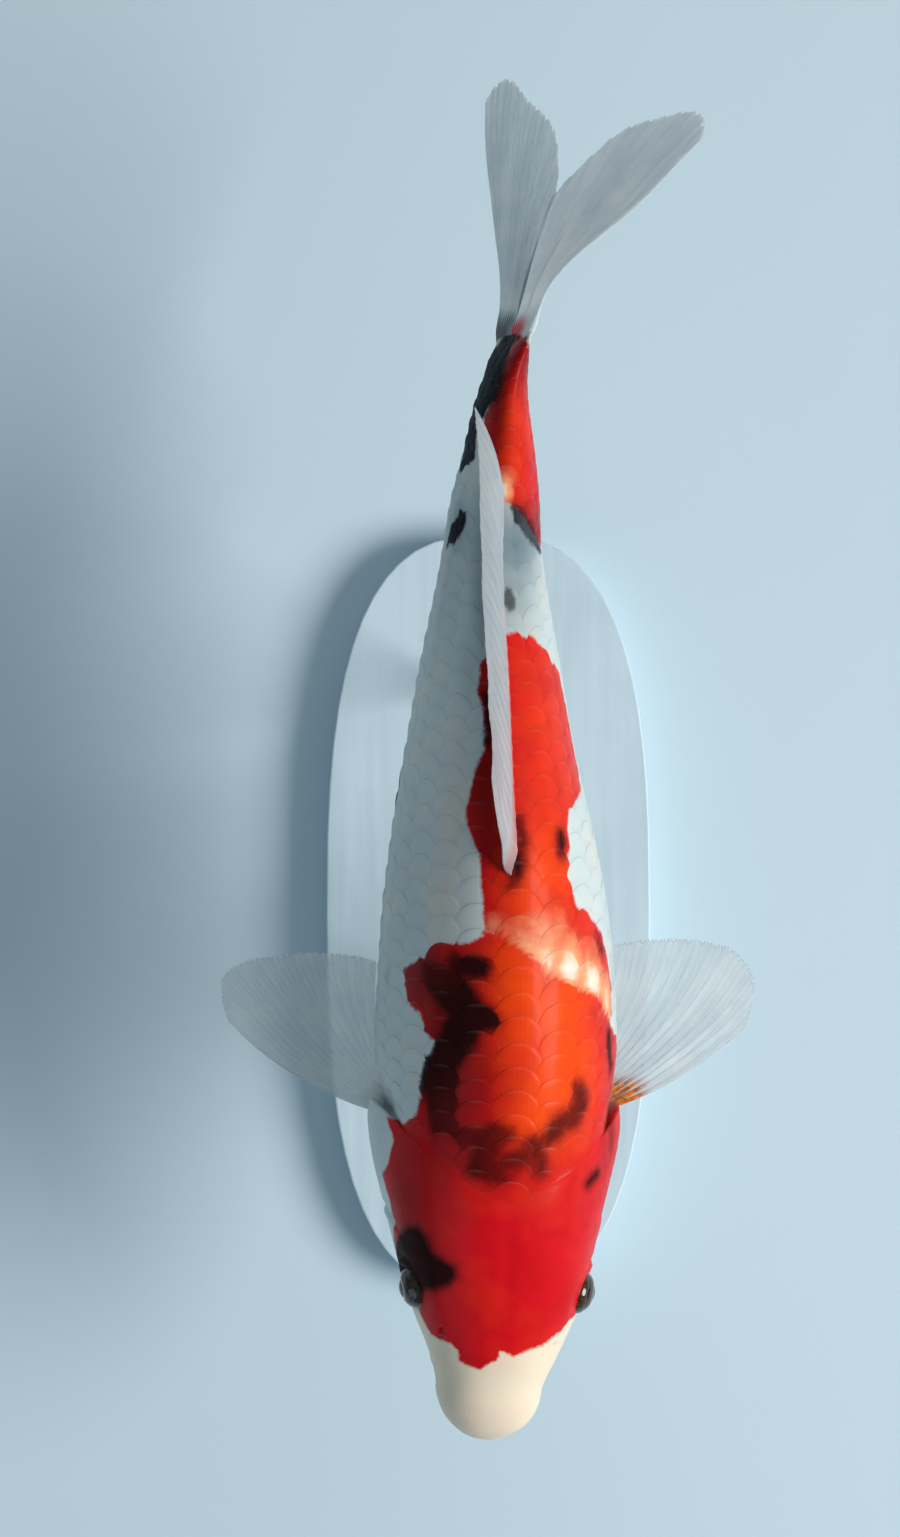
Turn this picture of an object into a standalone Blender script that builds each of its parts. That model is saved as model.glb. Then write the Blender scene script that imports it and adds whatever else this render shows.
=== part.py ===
"""Life-size still model of a koi carp, swimming level on a plain two-rod display stand.

Metres, +Z up. The fish heads towards -Y, so its left side is at +X. The origin is the middle of the
stand's underside. The body is lofted whole from profile curves, then parted with thin cuts into the
pieces that a person would name. Stations run along the body's axis from 0 at the snout tip to 1 at the
root of the tail fin. Profile values are shares of the standard length, which is measured between those two.
"""

import math

import bmesh
import bpy
import numpy as np
from mathutils import Matrix, Vector

STANDARD_LENGTH = 0.343
AXIS_HEIGHT = 0.150
SNOUT_Y = -0.157
GAP = 0.0003
FIN_THICKNESS = 0.0009

# Profiles of the body: (station, share of the standard length)
BACK = (
    (0.0, 0.037), (0.04, 0.046), (0.10, 0.073), (0.15, 0.093), (0.20, 0.110), (0.25, 0.124),
    (0.32, 0.140), (0.42, 0.152), (0.50, 0.153), (0.60, 0.140), (0.70, 0.116), (0.80, 0.087),
    (0.88, 0.068), (0.95, 0.060), (1.03, 0.063),
)
BELLY = (
    (0.0, 0.034), (0.04, 0.045), (0.10, 0.067), (0.15, 0.084), (0.20, 0.099), (0.28, 0.118),
    (0.38, 0.133), (0.48, 0.135), (0.58, 0.125), (0.68, 0.103), (0.78, 0.077), (0.87, 0.059),
    (0.94, 0.054), (1.03, 0.058),
)
HALF_WIDTH = (
    (0.0, 0.045), (0.035, 0.0465), (0.055, 0.0495), (0.08, 0.0590), (0.115, 0.0735), (0.137, 0.0805),
    (0.18, 0.0915), (0.22, 0.0995), (0.27, 0.1060), (0.31, 0.1078), (0.37, 0.1085), (0.42, 0.1060),
    (0.477, 0.1010), (0.54, 0.0912), (0.576, 0.0845), (0.621, 0.0756), (0.70, 0.0625), (0.80, 0.0452),
    (0.85, 0.0396), (0.892, 0.0318), (0.937, 0.0230), (0.965, 0.0168), (1.0, 0.0122), (1.03, 0.009),
)
BACK_FULLNESS = ((0.0, 2.0), (0.06, 2.2), (0.15, 2.25), (0.30, 2.05), (0.5, 1.95), (1.03, 1.95))
BELLY_FULLNESS = ((0.0, 2.0), (0.06, 2.3), (0.15, 2.45), (0.30, 2.3), (0.5, 2.2), (1.03, 2.0))
SPINE_OFFSET = (
    (0.0, -0.0056), (0.05, -0.0038), (0.09, -0.0010), (0.13, 0.0004), (0.25, 0.0), (0.34, 0.0018),
    (0.42, 0.0025), (0.50, 0.0002), (0.60, -0.0033), (0.68, -0.0031), (0.76, -0.0020),
    (0.82, 0.0001), (0.88, 0.0050), (0.94, 0.0086), (0.97, 0.0134), (1.0, 0.0200),
)
ROOT_SLOPE = 0.20
HEAD_YAW = ((0.0, 1.5), (0.15, 1.5), (0.32, 0.0), (1.0, 0.0))
BANK = (
    (0.0, 5.0), (0.2, 6.5), (0.5, 7.5), (0.68, 7.0), (0.80, 5.0), (0.90, 7.0), (0.96, 9.4), (1.0, 16.5),
)
SNOUT_ROUNDING = 0.04
TAIL_ROOT_END = 1.006

# Gill covers: the rear edge is an arc about a point on the head's axis
GILL_ARC_CENTRE = 0.170
GILL_ARC_RADIUS = 0.134
GILL_FRONT = 0.196
GILL_TOP = 0.062
GILL_BOTTOM = -0.090
GILL_INNER = 0.066
GILL_LIFT = 0.0062
GILL_RECESS = 0.0080

EYE_STATION = 0.139
EYE_HEIGHT = 0.027
EYE_SIDE = 0.0725
EYE_RADIUS = 0.0071
EYE_FLATTENING = 0.9
EYE_TILT = math.radians(6)

# Mouth line of the side view, as (station, height) from the lips to the jaw's hinge
JAW_LINE = ((-0.01, -0.012), (0.03, -0.0175), (0.062, -0.031), (0.105, -0.052))
STEM_START = 0.80
WHOLE_WIDTH = (-0.2, 0.2)

# Feelers: where each pair springs from, as (station, degrees down from the ridge), and its tip's
# distance back, outward and down from there
BARBELS = {
    "front": {"root": (0.030, 108), "reach": (0.011, 0.010, -0.021), "radius": 0.0006},
    "back": {"root": (0.060, 108), "reach": (0.030, 0.013, -0.036), "radius": 0.0008},
}
BARBEL_ROOT_DEPTH = 0.003
BARBEL_STEPS = 8

# Fins of the middle line: (station, length) of the root, and (degrees, degrees) that the first ray
# leans back and the last one leans further
DORSAL_ROOT = (0.512, 0.306)
DORSAL_SWEEP = (48, 28)
DORSAL_LENGTH = ((0, 0.112), (0.04, 0.124), (0.2, 0.092), (0.5, 0.072), (0.8, 0.072), (1, 0.106))
DORSAL_LEAN = ((0, 0.034), (0.2, 0.029), (0.5, 0.0240), (0.8, 0.0245), (1, 0.039))
DORSAL_LEAN_POWER = (0.60, 0.55, 0.85)
ANAL_ROOT = (0.765, 0.062)
ANAL_SWEEP = (52, 18)
ANAL_LENGTH = ((0, 0.112), (0.15, 0.122), (0.5, 0.100), (1, 0.072))
ANAL_DRIFT = 0.010

# Tail fin: ray lengths from its fork out to its edge, the fan's angle and half its root's height
TAIL_UPPER_LENGTH = ((0, 0.122), (0.15, 0.157), (0.35, 0.189), (0.6, 0.210), (0.85, 0.217), (1, 0.200))
TAIL_LOWER_LENGTH = (
    (0, 0.122), (0.1, 0.156), (0.2, 0.179), (0.35, 0.202), (0.6, 0.232), (0.85, 0.266), (1, 0.252),
)
# (distance behind the root, sideways twist for each unit of height)
TAIL_UPPER_TWIST = (
    (-0.03, 0.0), (0.0, 0.0), (0.03, 0.005), (0.06, 0.105), (0.09, 0.214), (0.125, 0.289), (0.16, 0.304),
    (0.30, 0.324),
)
TAIL_LOWER_TWIST = (
    (-0.03, 0.0), (0.0, 0.0), (0.03, 0.0), (0.06, 0.046), (0.09, 0.109), (0.117, 0.154), (0.16, 0.224),
    (0.30, 0.324),
)
TAIL_UPPER = {
    "spread": 25, "root": 0.057, "bend": (0.75, 0.20), "curl": 0.9, "lengths": TAIL_UPPER_LENGTH,
    "twist": TAIL_UPPER_TWIST,
}
TAIL_LOWER = {
    "spread": 28, "root": 0.053, "bend": (0.75, -0.25), "curl": 0.0, "lengths": TAIL_LOWER_LENGTH,
    "twist": TAIL_LOWER_TWIST,
}
TAIL_FORK = 0.03

# Paired fins: (station, side, height) of the first ray's root and the step from there to the last one's
PECTORAL_ROOT = (0.285, 0.087, -0.058)
PECTORAL_ROOT_STEP = (0.014, -0.014, -0.030)
# Each side as the fish holds it: the rays' angles behind straight out, their lengths and their bend
PECTORAL_LEFT = {
    "angle": ((0, 25.6), (0.1, 32), (0.25, 38.5), (0.4, 45.5), (0.6, 56), (0.8, 69.5), (1, 83.5)),
    "length": (
        (0, 0.184), (0.1, 0.210), (0.25, 0.215), (0.4, 0.202), (0.6, 0.176), (0.8, 0.150), (1, 0.127),
    ),
    "curve": 12,
}
PECTORAL_RIGHT = {
    "angle": ((0, 30), (0.1, 34.5), (0.25, 39.5), (0.4, 45.5), (0.6, 54.5), (0.8, 66.5), (1, 80)),
    "length": (
        (0, 0.172), (0.1, 0.188), (0.25, 0.201), (0.4, 0.199), (0.6, 0.179), (0.8, 0.156), (1, 0.132),
    ),
    "curve": 19,
}
PELVIC_ROOT = (0.492, 0.042, -0.122)
PELVIC_ROOT_STEP = (0.014, -0.020, -0.007)
PELVIC_ANGLE = (62, 24)
PELVIC_LENGTH = ((0, 0.120), (0.25, 0.130), (0.7, 0.112), (1, 0.090))

STAND_BASE = (0.112, 0.262, 0.016)
STAND_CORNERS = 56
STAND_ROUNDNESS = 0.72
STAND_ROD_STATIONS = {"front": 0.36, "back": 0.68}
STAND_ROD_RADIUS = 0.003
STAND_FLANGE_RADIUS = 0.0085

COLOURS = {
    "skin_white": ((0.86, 0.84, 0.78), 0.40, 0.0),
    "skin_red": ((0.80, 0.08, 0.02), 0.40, 0.0),
    "fin": ((0.84, 0.86, 0.84), 0.45, 0.0),
    "eye": ((0.03, 0.02, 0.015), 0.10, 0.0),
    "stand_paint": ((0.60, 0.74, 0.82), 0.45, 0.0),
    "stand_steel": ((0.62, 0.62, 0.60), 0.30, 1.0),
}


def along(profile, station):
    """The profile's value at each station, on a smooth curve through its points."""
    x, y = np.array(profile).T
    slope = np.gradient(y, x)
    at = np.clip(station, x[0], x[-1])
    i = np.clip(np.searchsorted(x, at, side="right") - 1, 0, len(x) - 2)
    step = x[i + 1] - x[i]
    t = (at - x[i]) / step
    return (
        y[i] * (1 + 2 * t) * (1 - t) ** 2
        + slope[i] * step * t * (1 - t) ** 2
        + y[i + 1] * t**2 * (3 - 2 * t)
        - slope[i + 1] * step * t**2 * (1 - t)
    )


def eased(low, high, value):
    """0 below low, 1 above high, and a smooth step between."""
    t = np.clip((value - low) / (high - low), 0, 1)
    return t * t * (3 - 2 * t)


def placed(station, side, height):
    """World points from stations and from shares of the standard length to the fish's left and up."""
    station, side, height = np.broadcast_arrays(*map(np.asarray, (station, side, height)))
    inside = np.clip(station, 0, 1)
    slope = (along(SPINE_OFFSET, inside + 0.01) - along(SPINE_OFFSET, inside - 0.01)) / 0.02
    ending = eased(0.96, 0.995, inside)
    heading = np.arctan(slope * (1 - ending) + ROOT_SLOPE * ending) + np.radians(along(HEAD_YAW, inside))
    spine_x = along(SPINE_OFFSET, inside) + np.maximum(station - 1, 0) * ROOT_SLOPE
    bank = np.radians(along(BANK, inside))
    across = side * np.cos(bank) + height * np.sin(bank)
    up = height * np.cos(bank) - side * np.sin(bank)
    x = spine_x + across * np.cos(heading)
    y = station - across * np.sin(heading)
    return np.stack(
        [x * STANDARD_LENGTH, SNOUT_Y + y * STANDARD_LENGTH, AXIS_HEIGHT + up * STANDARD_LENGTH], axis=-1
    )


def gill_step(station, height, behind):
    """How far the surface stands out at the gill covers' rear edge, or the trunk is hollowed behind it."""
    past_edge = np.hypot(np.maximum(station - GILL_ARC_CENTRE, 0), height) - GILL_ARC_RADIUS
    above_throat = eased(GILL_BOTTOM - 0.02, GILL_BOTTOM + 0.03, height)
    beside = above_throat * (1 - eased(GILL_TOP - 0.04, GILL_TOP + 0.025, height))
    if behind:
        return -GILL_RECESS * beside * (1 - eased(0.0, 0.05, past_edge))
    return GILL_LIFT * beside * eased(0.17, 0.22, station) * eased(-0.105, -0.015, past_edge)


def flank(station, turn, grow=0.0, front=False):
    """Side and height of the surface: that of the head and gill covers with front, else of the trunk.

    turn runs from 0 at the ridge to pi at the belly, and is negative to the right.
    """
    cap = np.sqrt(1 - np.clip(1 - station / SNOUT_ROUNDING, 0, 1) ** 2)
    upper = np.cos(turn) > 0
    power = 2 / np.where(upper, along(BACK_FULLNESS, station), along(BELLY_FULLNESS, station))
    half_height = np.where(upper, along(BACK, station), along(BELLY, station)) * cap + grow
    height = half_height * np.sign(np.cos(turn)) * np.abs(np.cos(turn)) ** power
    half_width = along(HALF_WIDTH, station) * cap + grow + gill_step(station, height, not front)
    return half_width * np.sign(np.sin(turn)) * np.abs(np.sin(turn)) ** power, height


def material(name):
    """One plain Principled material for each finish, shared by the pieces that wear it."""
    if name in bpy.data.materials:
        return bpy.data.materials[name]
    made = bpy.data.materials.new(name)
    made.use_nodes = True
    colour, roughness, metallic = COLOURS[name]
    shader = made.node_tree.nodes["Principled BSDF"]
    shader.inputs["Base Color"].default_value = (*colour, 1)
    shader.inputs["Roughness"].default_value = roughness
    shader.inputs["Metallic"].default_value = metallic
    return made


def object_from(name, verts, faces, collection):
    """A mesh object with outward normals."""
    mesh = bpy.data.meshes.new(name)
    mesh.from_pydata([tuple(map(float, v)) for v in verts], [], faces)
    work = bmesh.new()
    work.from_mesh(mesh)
    bmesh.ops.recalc_face_normals(work, faces=work.faces)
    work.to_mesh(mesh)
    work.free()
    made = bpy.data.objects.new(name, mesh)
    collection.objects.link(made)
    return made


def as_cutter(made):
    made.hide_render = True
    made.display_type = "WIRE"
    return made


def cut(piece, operation, cutter):
    """Adds an exact Boolean of that kind."""
    step = piece.modifiers.new(f"{operation.lower()} {cutter.name}", "BOOLEAN")
    step.operation = operation
    step.solver = "EXACT"
    step.object = cutter


def whole_body(name, collection, grow=0.0, front=False, around=30):
    """The closed body from snout to tail root: rings of points between a pole at each end."""
    nose = SNOUT_ROUNDING * (1 - np.cos(np.radians([20, 40, 60, 80])))
    middle = [np.linspace(0.05, 0.30, 13), np.linspace(0.315, 0.36, 3), np.linspace(0.39, 0.985, 22)]
    stations = np.concatenate([nose, *middle, [0.995, 1.002]])
    turns = np.arange(around) * 2 * math.pi / around
    side, height = flank(stations[:, None], turns[None, :], grow / STANDARD_LENGTH, front)
    rings = placed(stations[:, None], side, height).reshape(-1, 3)
    reach = grow / STANDARD_LENGTH
    snout = placed(-reach, 0.0, 0.0)
    root = placed(TAIL_ROOT_END + reach, 0.0, 0.0)
    verts = np.vstack([rings, snout, root])
    count = len(stations)
    faces = []
    for i in range(count - 1):
        this, behind = i * around, (i + 1) * around
        for j in range(around):
            beside = (j + 1) % around
            faces.append((this + j, this + beside, behind + beside, behind + j))
    faces += [(count * around, (j + 1) % around, j) for j in range(around)]
    last = (count - 1) * around
    faces += [(count * around + 1, last + j, last + (j + 1) % around) for j in range(around)]
    return object_from(name, verts, faces, collection)


def side_block(name, outline, span, collection):
    """A cutter: an outline of (station, height) points in the side view, extruded between two widths."""
    low, high = span
    near = placed([p[0] for p in outline], low, [p[1] for p in outline])
    far = placed([p[0] for p in outline], high, [p[1] for p in outline])
    count = len(outline)
    faces = [tuple(range(count)), tuple(range(2 * count - 1, count - 1, -1))]
    faces += [(i, (i + 1) % count, count + (i + 1) % count, count + i) for i in range(count)]
    return as_cutter(object_from(name, np.vstack([near, far]), faces, collection))


def gill_arc(reach, low, high, steps=15):
    """Points on the gill covers' rear edge, from the height low up to high."""
    radius = GILL_ARC_RADIUS + reach
    heights = radius * np.sin(np.linspace(math.asin(low / radius), math.asin(high / radius), steps))
    return [(GILL_ARC_CENTRE + math.sqrt(radius**2 - h**2), float(h)) for h in heights]


def head_outline(reach):
    """The side view of all that is in front of the gill edge."""
    edge = GILL_ARC_RADIUS + reach - 1e-6
    below = [(-0.05, -0.2), (GILL_ARC_CENTRE, -0.2)]
    above = [(GILL_ARC_CENTRE, 0.2), (-0.05, 0.2)]
    return [*below, *gill_arc(reach, -edge, edge), *above]


def gill_outline(reach):
    """The side view of one gill cover: the rear arc, and a front edge that bows forwards."""
    top, bottom = GILL_TOP + reach, GILL_BOTTOM - reach
    middle, half = (top + bottom) / 2, (top - bottom) / 2
    front = []
    for k in range(1, 12):
        turn = math.pi * k / 12
        bow = math.sin(turn) ** 0.6
        front.append((GILL_FRONT + 0.050 - (0.050 + reach) * bow, middle + half * math.cos(turn)))
    rear = gill_arc(0.02, bottom, top, 9)
    return [*front, *rear]


def jaw_outline(reach):
    """The side view of the lower jaw: below the mouth line, in front of the hinge."""
    *line, (hinge_station, hinge_height) = JAW_LINE
    behind = hinge_station + reach
    line = [(station, height + reach) for station, height in line]
    return [*line, (behind, hinge_height + reach), (behind, -0.12), (line[0][0], -0.12)]


def stem_outline(start):
    """The side view of all that is behind a station."""
    return [(start, -0.2), (1.2, -0.2), (1.2, 0.2), (start, 0.2)]


def eye_centre(sign):
    return Vector(placed(EYE_STATION, sign * EYE_SIDE, EYE_HEIGHT))


def eyeball(name, centre, radius, collection):
    """A closed sphere, a little flattened along the line between the eyes."""
    mesh = bpy.data.meshes.new(name)
    work = bmesh.new()
    flattened = Matrix.Diagonal((EYE_FLATTENING, 1, 1, 1)) @ Matrix.Rotation(math.pi / 2, 4, "Y")
    shape = Matrix.Rotation(EYE_TILT, 4, "Y") @ flattened
    bmesh.ops.create_uvsphere(work, u_segments=16, v_segments=10, radius=radius, matrix=shape)
    work.to_mesh(mesh)
    work.free()
    made = bpy.data.objects.new(name, mesh)
    made.location = centre
    collection.objects.link(made)
    return made


def make_flesh(parts, cutters):
    """Head, lower jaw, gill covers, trunk and tail stem, all cut from the same loft."""
    gap = GAP / STANDARD_LENGTH
    head_block = side_block("cut_head", head_outline(0), WHOLE_WIDTH, cutters)
    trunk_block = side_block("cut_trunk", head_outline(gap), WHOLE_WIDTH, cutters)
    stem_block = side_block("cut_stem", stem_outline(STEM_START), WHOLE_WIDTH, cutters)
    stem_gap = side_block("cut_stem_gap", stem_outline(STEM_START - gap), WHOLE_WIDTH, cutters)
    jaw_block = side_block("cut_jaw", jaw_outline(0), WHOLE_WIDTH, cutters)
    jaw_gap = side_block("cut_jaw_gap", jaw_outline(gap), WHOLE_WIDTH, cutters)

    head = whole_body("head", parts, front=True)
    cut(head, "INTERSECT", head_block)
    cut(head, "DIFFERENCE", jaw_gap)
    jaw = whole_body("lower_jaw", parts, front=True)
    cut(jaw, "INTERSECT", jaw_block)
    for side, sign in (("left", 1), ("right", -1)):
        cover = whole_body(f"gill_cover_{side}", parts, front=True)
        cut(cover, "INTERSECT", head_block)
        inner = (sign * GILL_INNER, sign * 0.2)
        cut(cover, "INTERSECT", side_block(f"cut_gill_{side}", gill_outline(0), inner, cutters))
        inner = (sign * (GILL_INNER - gap), sign * 0.2)
        cut(head, "DIFFERENCE", side_block(f"cut_gill_gap_{side}", gill_outline(gap), inner, cutters))
        socket = eyeball(f"cut_eye_{side}", eye_centre(sign), EYE_RADIUS + GAP, cutters)
        cut(head, "DIFFERENCE", as_cutter(socket))
        eye = eyeball(f"eye_{side}", eye_centre(sign), EYE_RADIUS, parts)
        eye.data.materials.append(material("eye"))
        eye.data.shade_smooth()
        cover.data.materials.append(material("skin_red"))
    trunk = whole_body("trunk", parts)
    cut(trunk, "DIFFERENCE", trunk_block)
    cut(trunk, "DIFFERENCE", stem_gap)
    stem = whole_body("tail_stem", parts)
    cut(stem, "INTERSECT", stem_block)
    head.data.materials.append(material("skin_red"))
    for piece in (jaw, trunk, stem):
        piece.data.materials.append(material("skin_white"))


def solid_from(curve, name, collection):
    """The closed mesh object that a filled curve stands for, ready to be cut."""
    drawn = bpy.data.objects.new(f"{name}_line", curve)
    collection.objects.link(drawn)
    bpy.context.view_layer.update()
    mesh = bpy.data.meshes.new_from_object(drawn.evaluated_get(bpy.context.evaluated_depsgraph_get()))
    bpy.data.objects.remove(drawn)
    work = bmesh.new()
    work.from_mesh(mesh)
    bmesh.ops.remove_doubles(work, verts=work.verts, dist=1e-5)
    bmesh.ops.recalc_face_normals(work, faces=work.faces)
    work.to_mesh(mesh)
    work.free()
    made = bpy.data.objects.new(name, mesh)
    collection.objects.link(made)
    return made


def make_barbels(parts, covers):
    """Two pairs of feelers: short ones on the upper lip, longer ones at the corners of the mouth."""
    for pair, shape in BARBELS.items():
        station, degrees = shape["root"]
        root = flank(np.array(station), np.array(math.radians(degrees)), -BARBEL_ROOT_DEPTH)
        at_side, at_height = map(float, root)
        back, outward, down = shape["reach"]
        for side, sign in (("left", 1), ("right", -1)):
            line = bpy.data.curves.new(f"barbel_{pair}_{side}", "CURVE")
            line.dimensions = "3D"
            line.bevel_depth = shape["radius"]
            line.bevel_resolution = 1
            line.use_fill_caps = True
            spline = line.splines.new("POLY")
            spline.points.add(BARBEL_STEPS - 1)
            for k, point in enumerate(spline.points):
                t = k / (BARBEL_STEPS - 1)
                place = placed(
                    station + back * t**1.6,
                    sign * (at_side + outward * (1.5 * t - 0.7 * t * t)),
                    at_height + down * t * (1.2 - 0.2 * t),
                )
                point.co = (*map(float, place), 1)
                point.radius = 1.25 - 0.75 * t
            made = solid_from(line, line.name, parts)
            cut(made, "DIFFERENCE", covers)
            made.data.materials.append(material("skin_white"))


def fin_sheet(name, rays, parts, cutters_used, across=13, lengthwise=8, start=-0.12):
    """A thin fin: an open sheet of rays, thickened evenly, with its buried root cut off at the skin.

    rays(r, t) gives (station, side, height) for the share r across the fin and t along each ray.
    Where t is below 0 the ray is buried.
    """
    r = np.linspace(0, 1, across)[:, None]
    t = np.linspace(start, 1, lengthwise)[None, :]
    sheet = placed(*rays(r, t)).reshape(-1, 3)
    faces = []
    for i in range(across - 1):
        for j in range(i * lengthwise, (i + 1) * lengthwise - 1):
            faces.append((j, j + 1, j + 1 + lengthwise, j + lengthwise))
    made = object_from(name, sheet, faces, parts)
    skin = made.modifiers.new("thickness", "SOLIDIFY")
    skin.thickness = FIN_THICKNESS
    skin.offset = 0
    for cutter in cutters_used:
        cut(made, "DIFFERENCE", cutter)
    made.data.materials.append(material("fin"))
    return made


def dorsal_rays(r, t):
    """The long fin of the back, half folded and leaning to the fish's right."""
    station = DORSAL_ROOT[0] + DORSAL_ROOT[1] * r
    root = along(BACK, station)
    sweep = np.radians(DORSAL_SWEEP[0] + DORSAL_SWEEP[1] * r)
    length = along(DORSAL_LENGTH, r)
    steepness = DORSAL_LEAN_POWER[0] + DORSAL_LEAN_POWER[1] * eased(0.0, 0.3, r) + DORSAL_LEAN_POWER[2] * r**2
    lean = -along(DORSAL_LEAN, r) * np.clip(t, 0, 1) ** steepness
    return station + length * t * np.sin(sweep), lean, root + length * t * np.cos(sweep)


def anal_rays(r, t):
    """The short fin behind the vent."""
    station = ANAL_ROOT[0] + ANAL_ROOT[1] * r
    root = -along(BELLY, station)
    sweep = np.radians(ANAL_SWEEP[0] + ANAL_SWEEP[1] * r)
    length = along(ANAL_LENGTH, r)
    drift = ANAL_DRIFT * np.clip(t, 0, 1) ** 2
    return station + length * t * np.sin(sweep), drift * np.ones_like(r), root - length * t * np.cos(sweep)


def tail_rays(lobe, sign):
    """One lobe of the tail fin in mid stroke: the upper one bends far to the left, the lower one trails."""

    def rays(r, t):
        outer = TAIL_FORK + (1 - TAIL_FORK) * r
        fan = np.radians(lobe["spread"]) * outer**0.8
        reach = along(lobe["lengths"], r) * t
        behind = reach * np.cos(fan)
        height = sign * (lobe["root"] * outer + reach * np.sin(fan))
        bend = (lobe["bend"][0] + lobe["bend"][1] * outer) * behind**2
        bend = bend + lobe["curl"] * height**2 * eased(0.02, 0.12, behind)
        return 1.0 + behind, bend + height * along(lobe["twist"], behind), height

    return rays


def pectoral_rays(sign):
    """A breast fin, spread wide to one side like a paddle."""
    shape = PECTORAL_LEFT if sign > 0 else PECTORAL_RIGHT

    def rays(r, t):
        angle = np.radians(along(shape["angle"], r) - shape["curve"] * (1 - np.clip(t, 0, 1)))
        reach = t * along(shape["length"], r)
        drop = 0.06 * reach + 1.1 * np.clip(reach, 0, 1) ** 2 * (1 - 0.5 * r)
        station, side, height = (a + b * r for a, b in zip(PECTORAL_ROOT, PECTORAL_ROOT_STEP))
        return station + reach * np.sin(angle), sign * (side + reach * np.cos(angle)), height - drop

    return rays


def pelvic_rays(sign):
    """A belly fin, trailing back and a little out."""

    def rays(r, t):
        angle = np.radians(PELVIC_ANGLE[0] + PELVIC_ANGLE[1] * r)
        reach = along(PELVIC_LENGTH, r) * t
        outward = 0.25 * reach * np.cos(angle)
        drop = reach * (0.40 - 0.18 * r)
        station, side, height = (a + b * r for a, b in zip(PELVIC_ROOT, PELVIC_ROOT_STEP))
        return station + reach * np.sin(angle), sign * (side + outward), height - drop

    return rays


def make_fins(parts, skin, covers):
    """Every fin, its root cut off just outside the skin."""
    fin_sheet("dorsal_fin", dorsal_rays, parts, [skin], across=18)
    fin_sheet("anal_fin", anal_rays, parts, [skin], across=9)
    for name, rays in (("upper", tail_rays(TAIL_UPPER, 1)), ("lower", tail_rays(TAIL_LOWER, -1))):
        fin_sheet(f"tail_fin_{name}", rays, parts, [skin], across=12, lengthwise=12, start=-0.10)
    for side, sign in (("left", 1), ("right", -1)):
        fin_sheet(f"pectoral_fin_{side}", pectoral_rays(sign), parts, [skin, covers])
        fin_sheet(f"pelvic_fin_{side}", pelvic_rays(sign), parts, [skin], across=9)


def make_stand(parts, skin):
    """A rounded wooden base and two turned steel rods, each with a foot flange, that reach the belly."""
    width, length, thick = STAND_BASE
    outline = bpy.data.curves.new("stand_base", "CURVE")
    outline.dimensions = "2D"
    outline.fill_mode = "BOTH"
    outline.extrude = thick / 2
    spline = outline.splines.new("POLY")
    spline.points.add(STAND_CORNERS - 1)
    spline.use_cyclic_u = True
    for k, point in enumerate(spline.points):
        turn = 2 * math.pi * k / STAND_CORNERS
        x = width / 2 * math.copysign(abs(math.cos(turn)) ** STAND_ROUNDNESS, math.cos(turn))
        y = length / 2 * math.copysign(abs(math.sin(turn)) ** STAND_ROUNDNESS, math.sin(turn))
        point.co = (x, y, 0, 1)
    base = solid_from(outline, "stand_base", parts)
    base.location.z = thick / 2
    edge = base.modifiers.new("edge", "BEVEL")
    edge.width = 0.003
    edge.segments = 2
    edge.angle_limit = math.radians(60)
    base.data.materials.append(material("stand_paint"))

    foot = thick + GAP
    for name, station in STAND_ROD_STATIONS.items():
        at = placed(station, 0.0, 0.0)
        belly = placed(station, 0.0, -float(along(BELLY, np.array(station))))
        radius = STAND_ROD_RADIUS
        flange = STAND_FLANGE_RADIUS
        top = float(belly[2]) + 0.006
        shaft = [(0.0, top), (radius, top), (radius, foot + 0.008)]
        profile = [*shaft, (flange - 0.0005, foot + 0.004), (flange, foot), (0.0, foot)]
        verts = [(x, 0, z) for x, z in profile]
        mesh = bpy.data.meshes.new(f"stand_rod_{name}")
        mesh.from_pydata(verts, [(i, i + 1) for i in range(len(verts) - 1)], [])
        rod = bpy.data.objects.new(mesh.name, mesh)
        rod.location = (float(belly[0] + at[0]) / 2, float(at[1]), 0)
        parts.objects.link(rod)
        turned = rod.modifiers.new("turn", "SCREW")
        turned.steps = turned.render_steps = 20
        turned.use_merge_vertices = True
        turned.merge_threshold = 0.00005
        cut(rod, "DIFFERENCE", skin)
        rod.data.materials.append(material("stand_steel"))


def main():
    for old in list(bpy.data.objects):
        bpy.data.objects.remove(old, do_unlink=True)
    parts = bpy.data.collections.new("koi_carp")
    cutters = bpy.data.collections.new("cutters")
    for collection in (parts, cutters):
        bpy.context.scene.collection.children.link(collection)
    make_flesh(parts, cutters)
    skin = as_cutter(whole_body("cut_skin", cutters, grow=GAP))
    covers = as_cutter(whole_body("cut_covers", cutters, grow=GAP, front=True))
    reach = head_outline(GAP / STANDARD_LENGTH)
    cut(covers, "INTERSECT", side_block("cut_front", reach, WHOLE_WIDTH, cutters))
    make_barbels(parts, covers)
    make_fins(parts, skin, covers)
    make_stand(parts, skin)


main()
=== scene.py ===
import math

import bpy
import numpy as np
from mathutils import Matrix, Vector


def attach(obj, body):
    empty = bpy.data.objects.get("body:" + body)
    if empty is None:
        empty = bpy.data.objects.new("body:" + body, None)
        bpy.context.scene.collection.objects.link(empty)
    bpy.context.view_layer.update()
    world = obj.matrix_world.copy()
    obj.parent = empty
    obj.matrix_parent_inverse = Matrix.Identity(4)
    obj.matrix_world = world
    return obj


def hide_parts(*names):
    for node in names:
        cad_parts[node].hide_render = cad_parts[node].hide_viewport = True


# A life-size koi carp in its skin, scales and fins, on a two-rod display stand.
# Metres, +Z up. The fish heads to -Y, so its left side is at +X. Stations run from 0 at the
# snout to 1 at the root of the tail fin, and body sizes are shares of the standard length.

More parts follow.
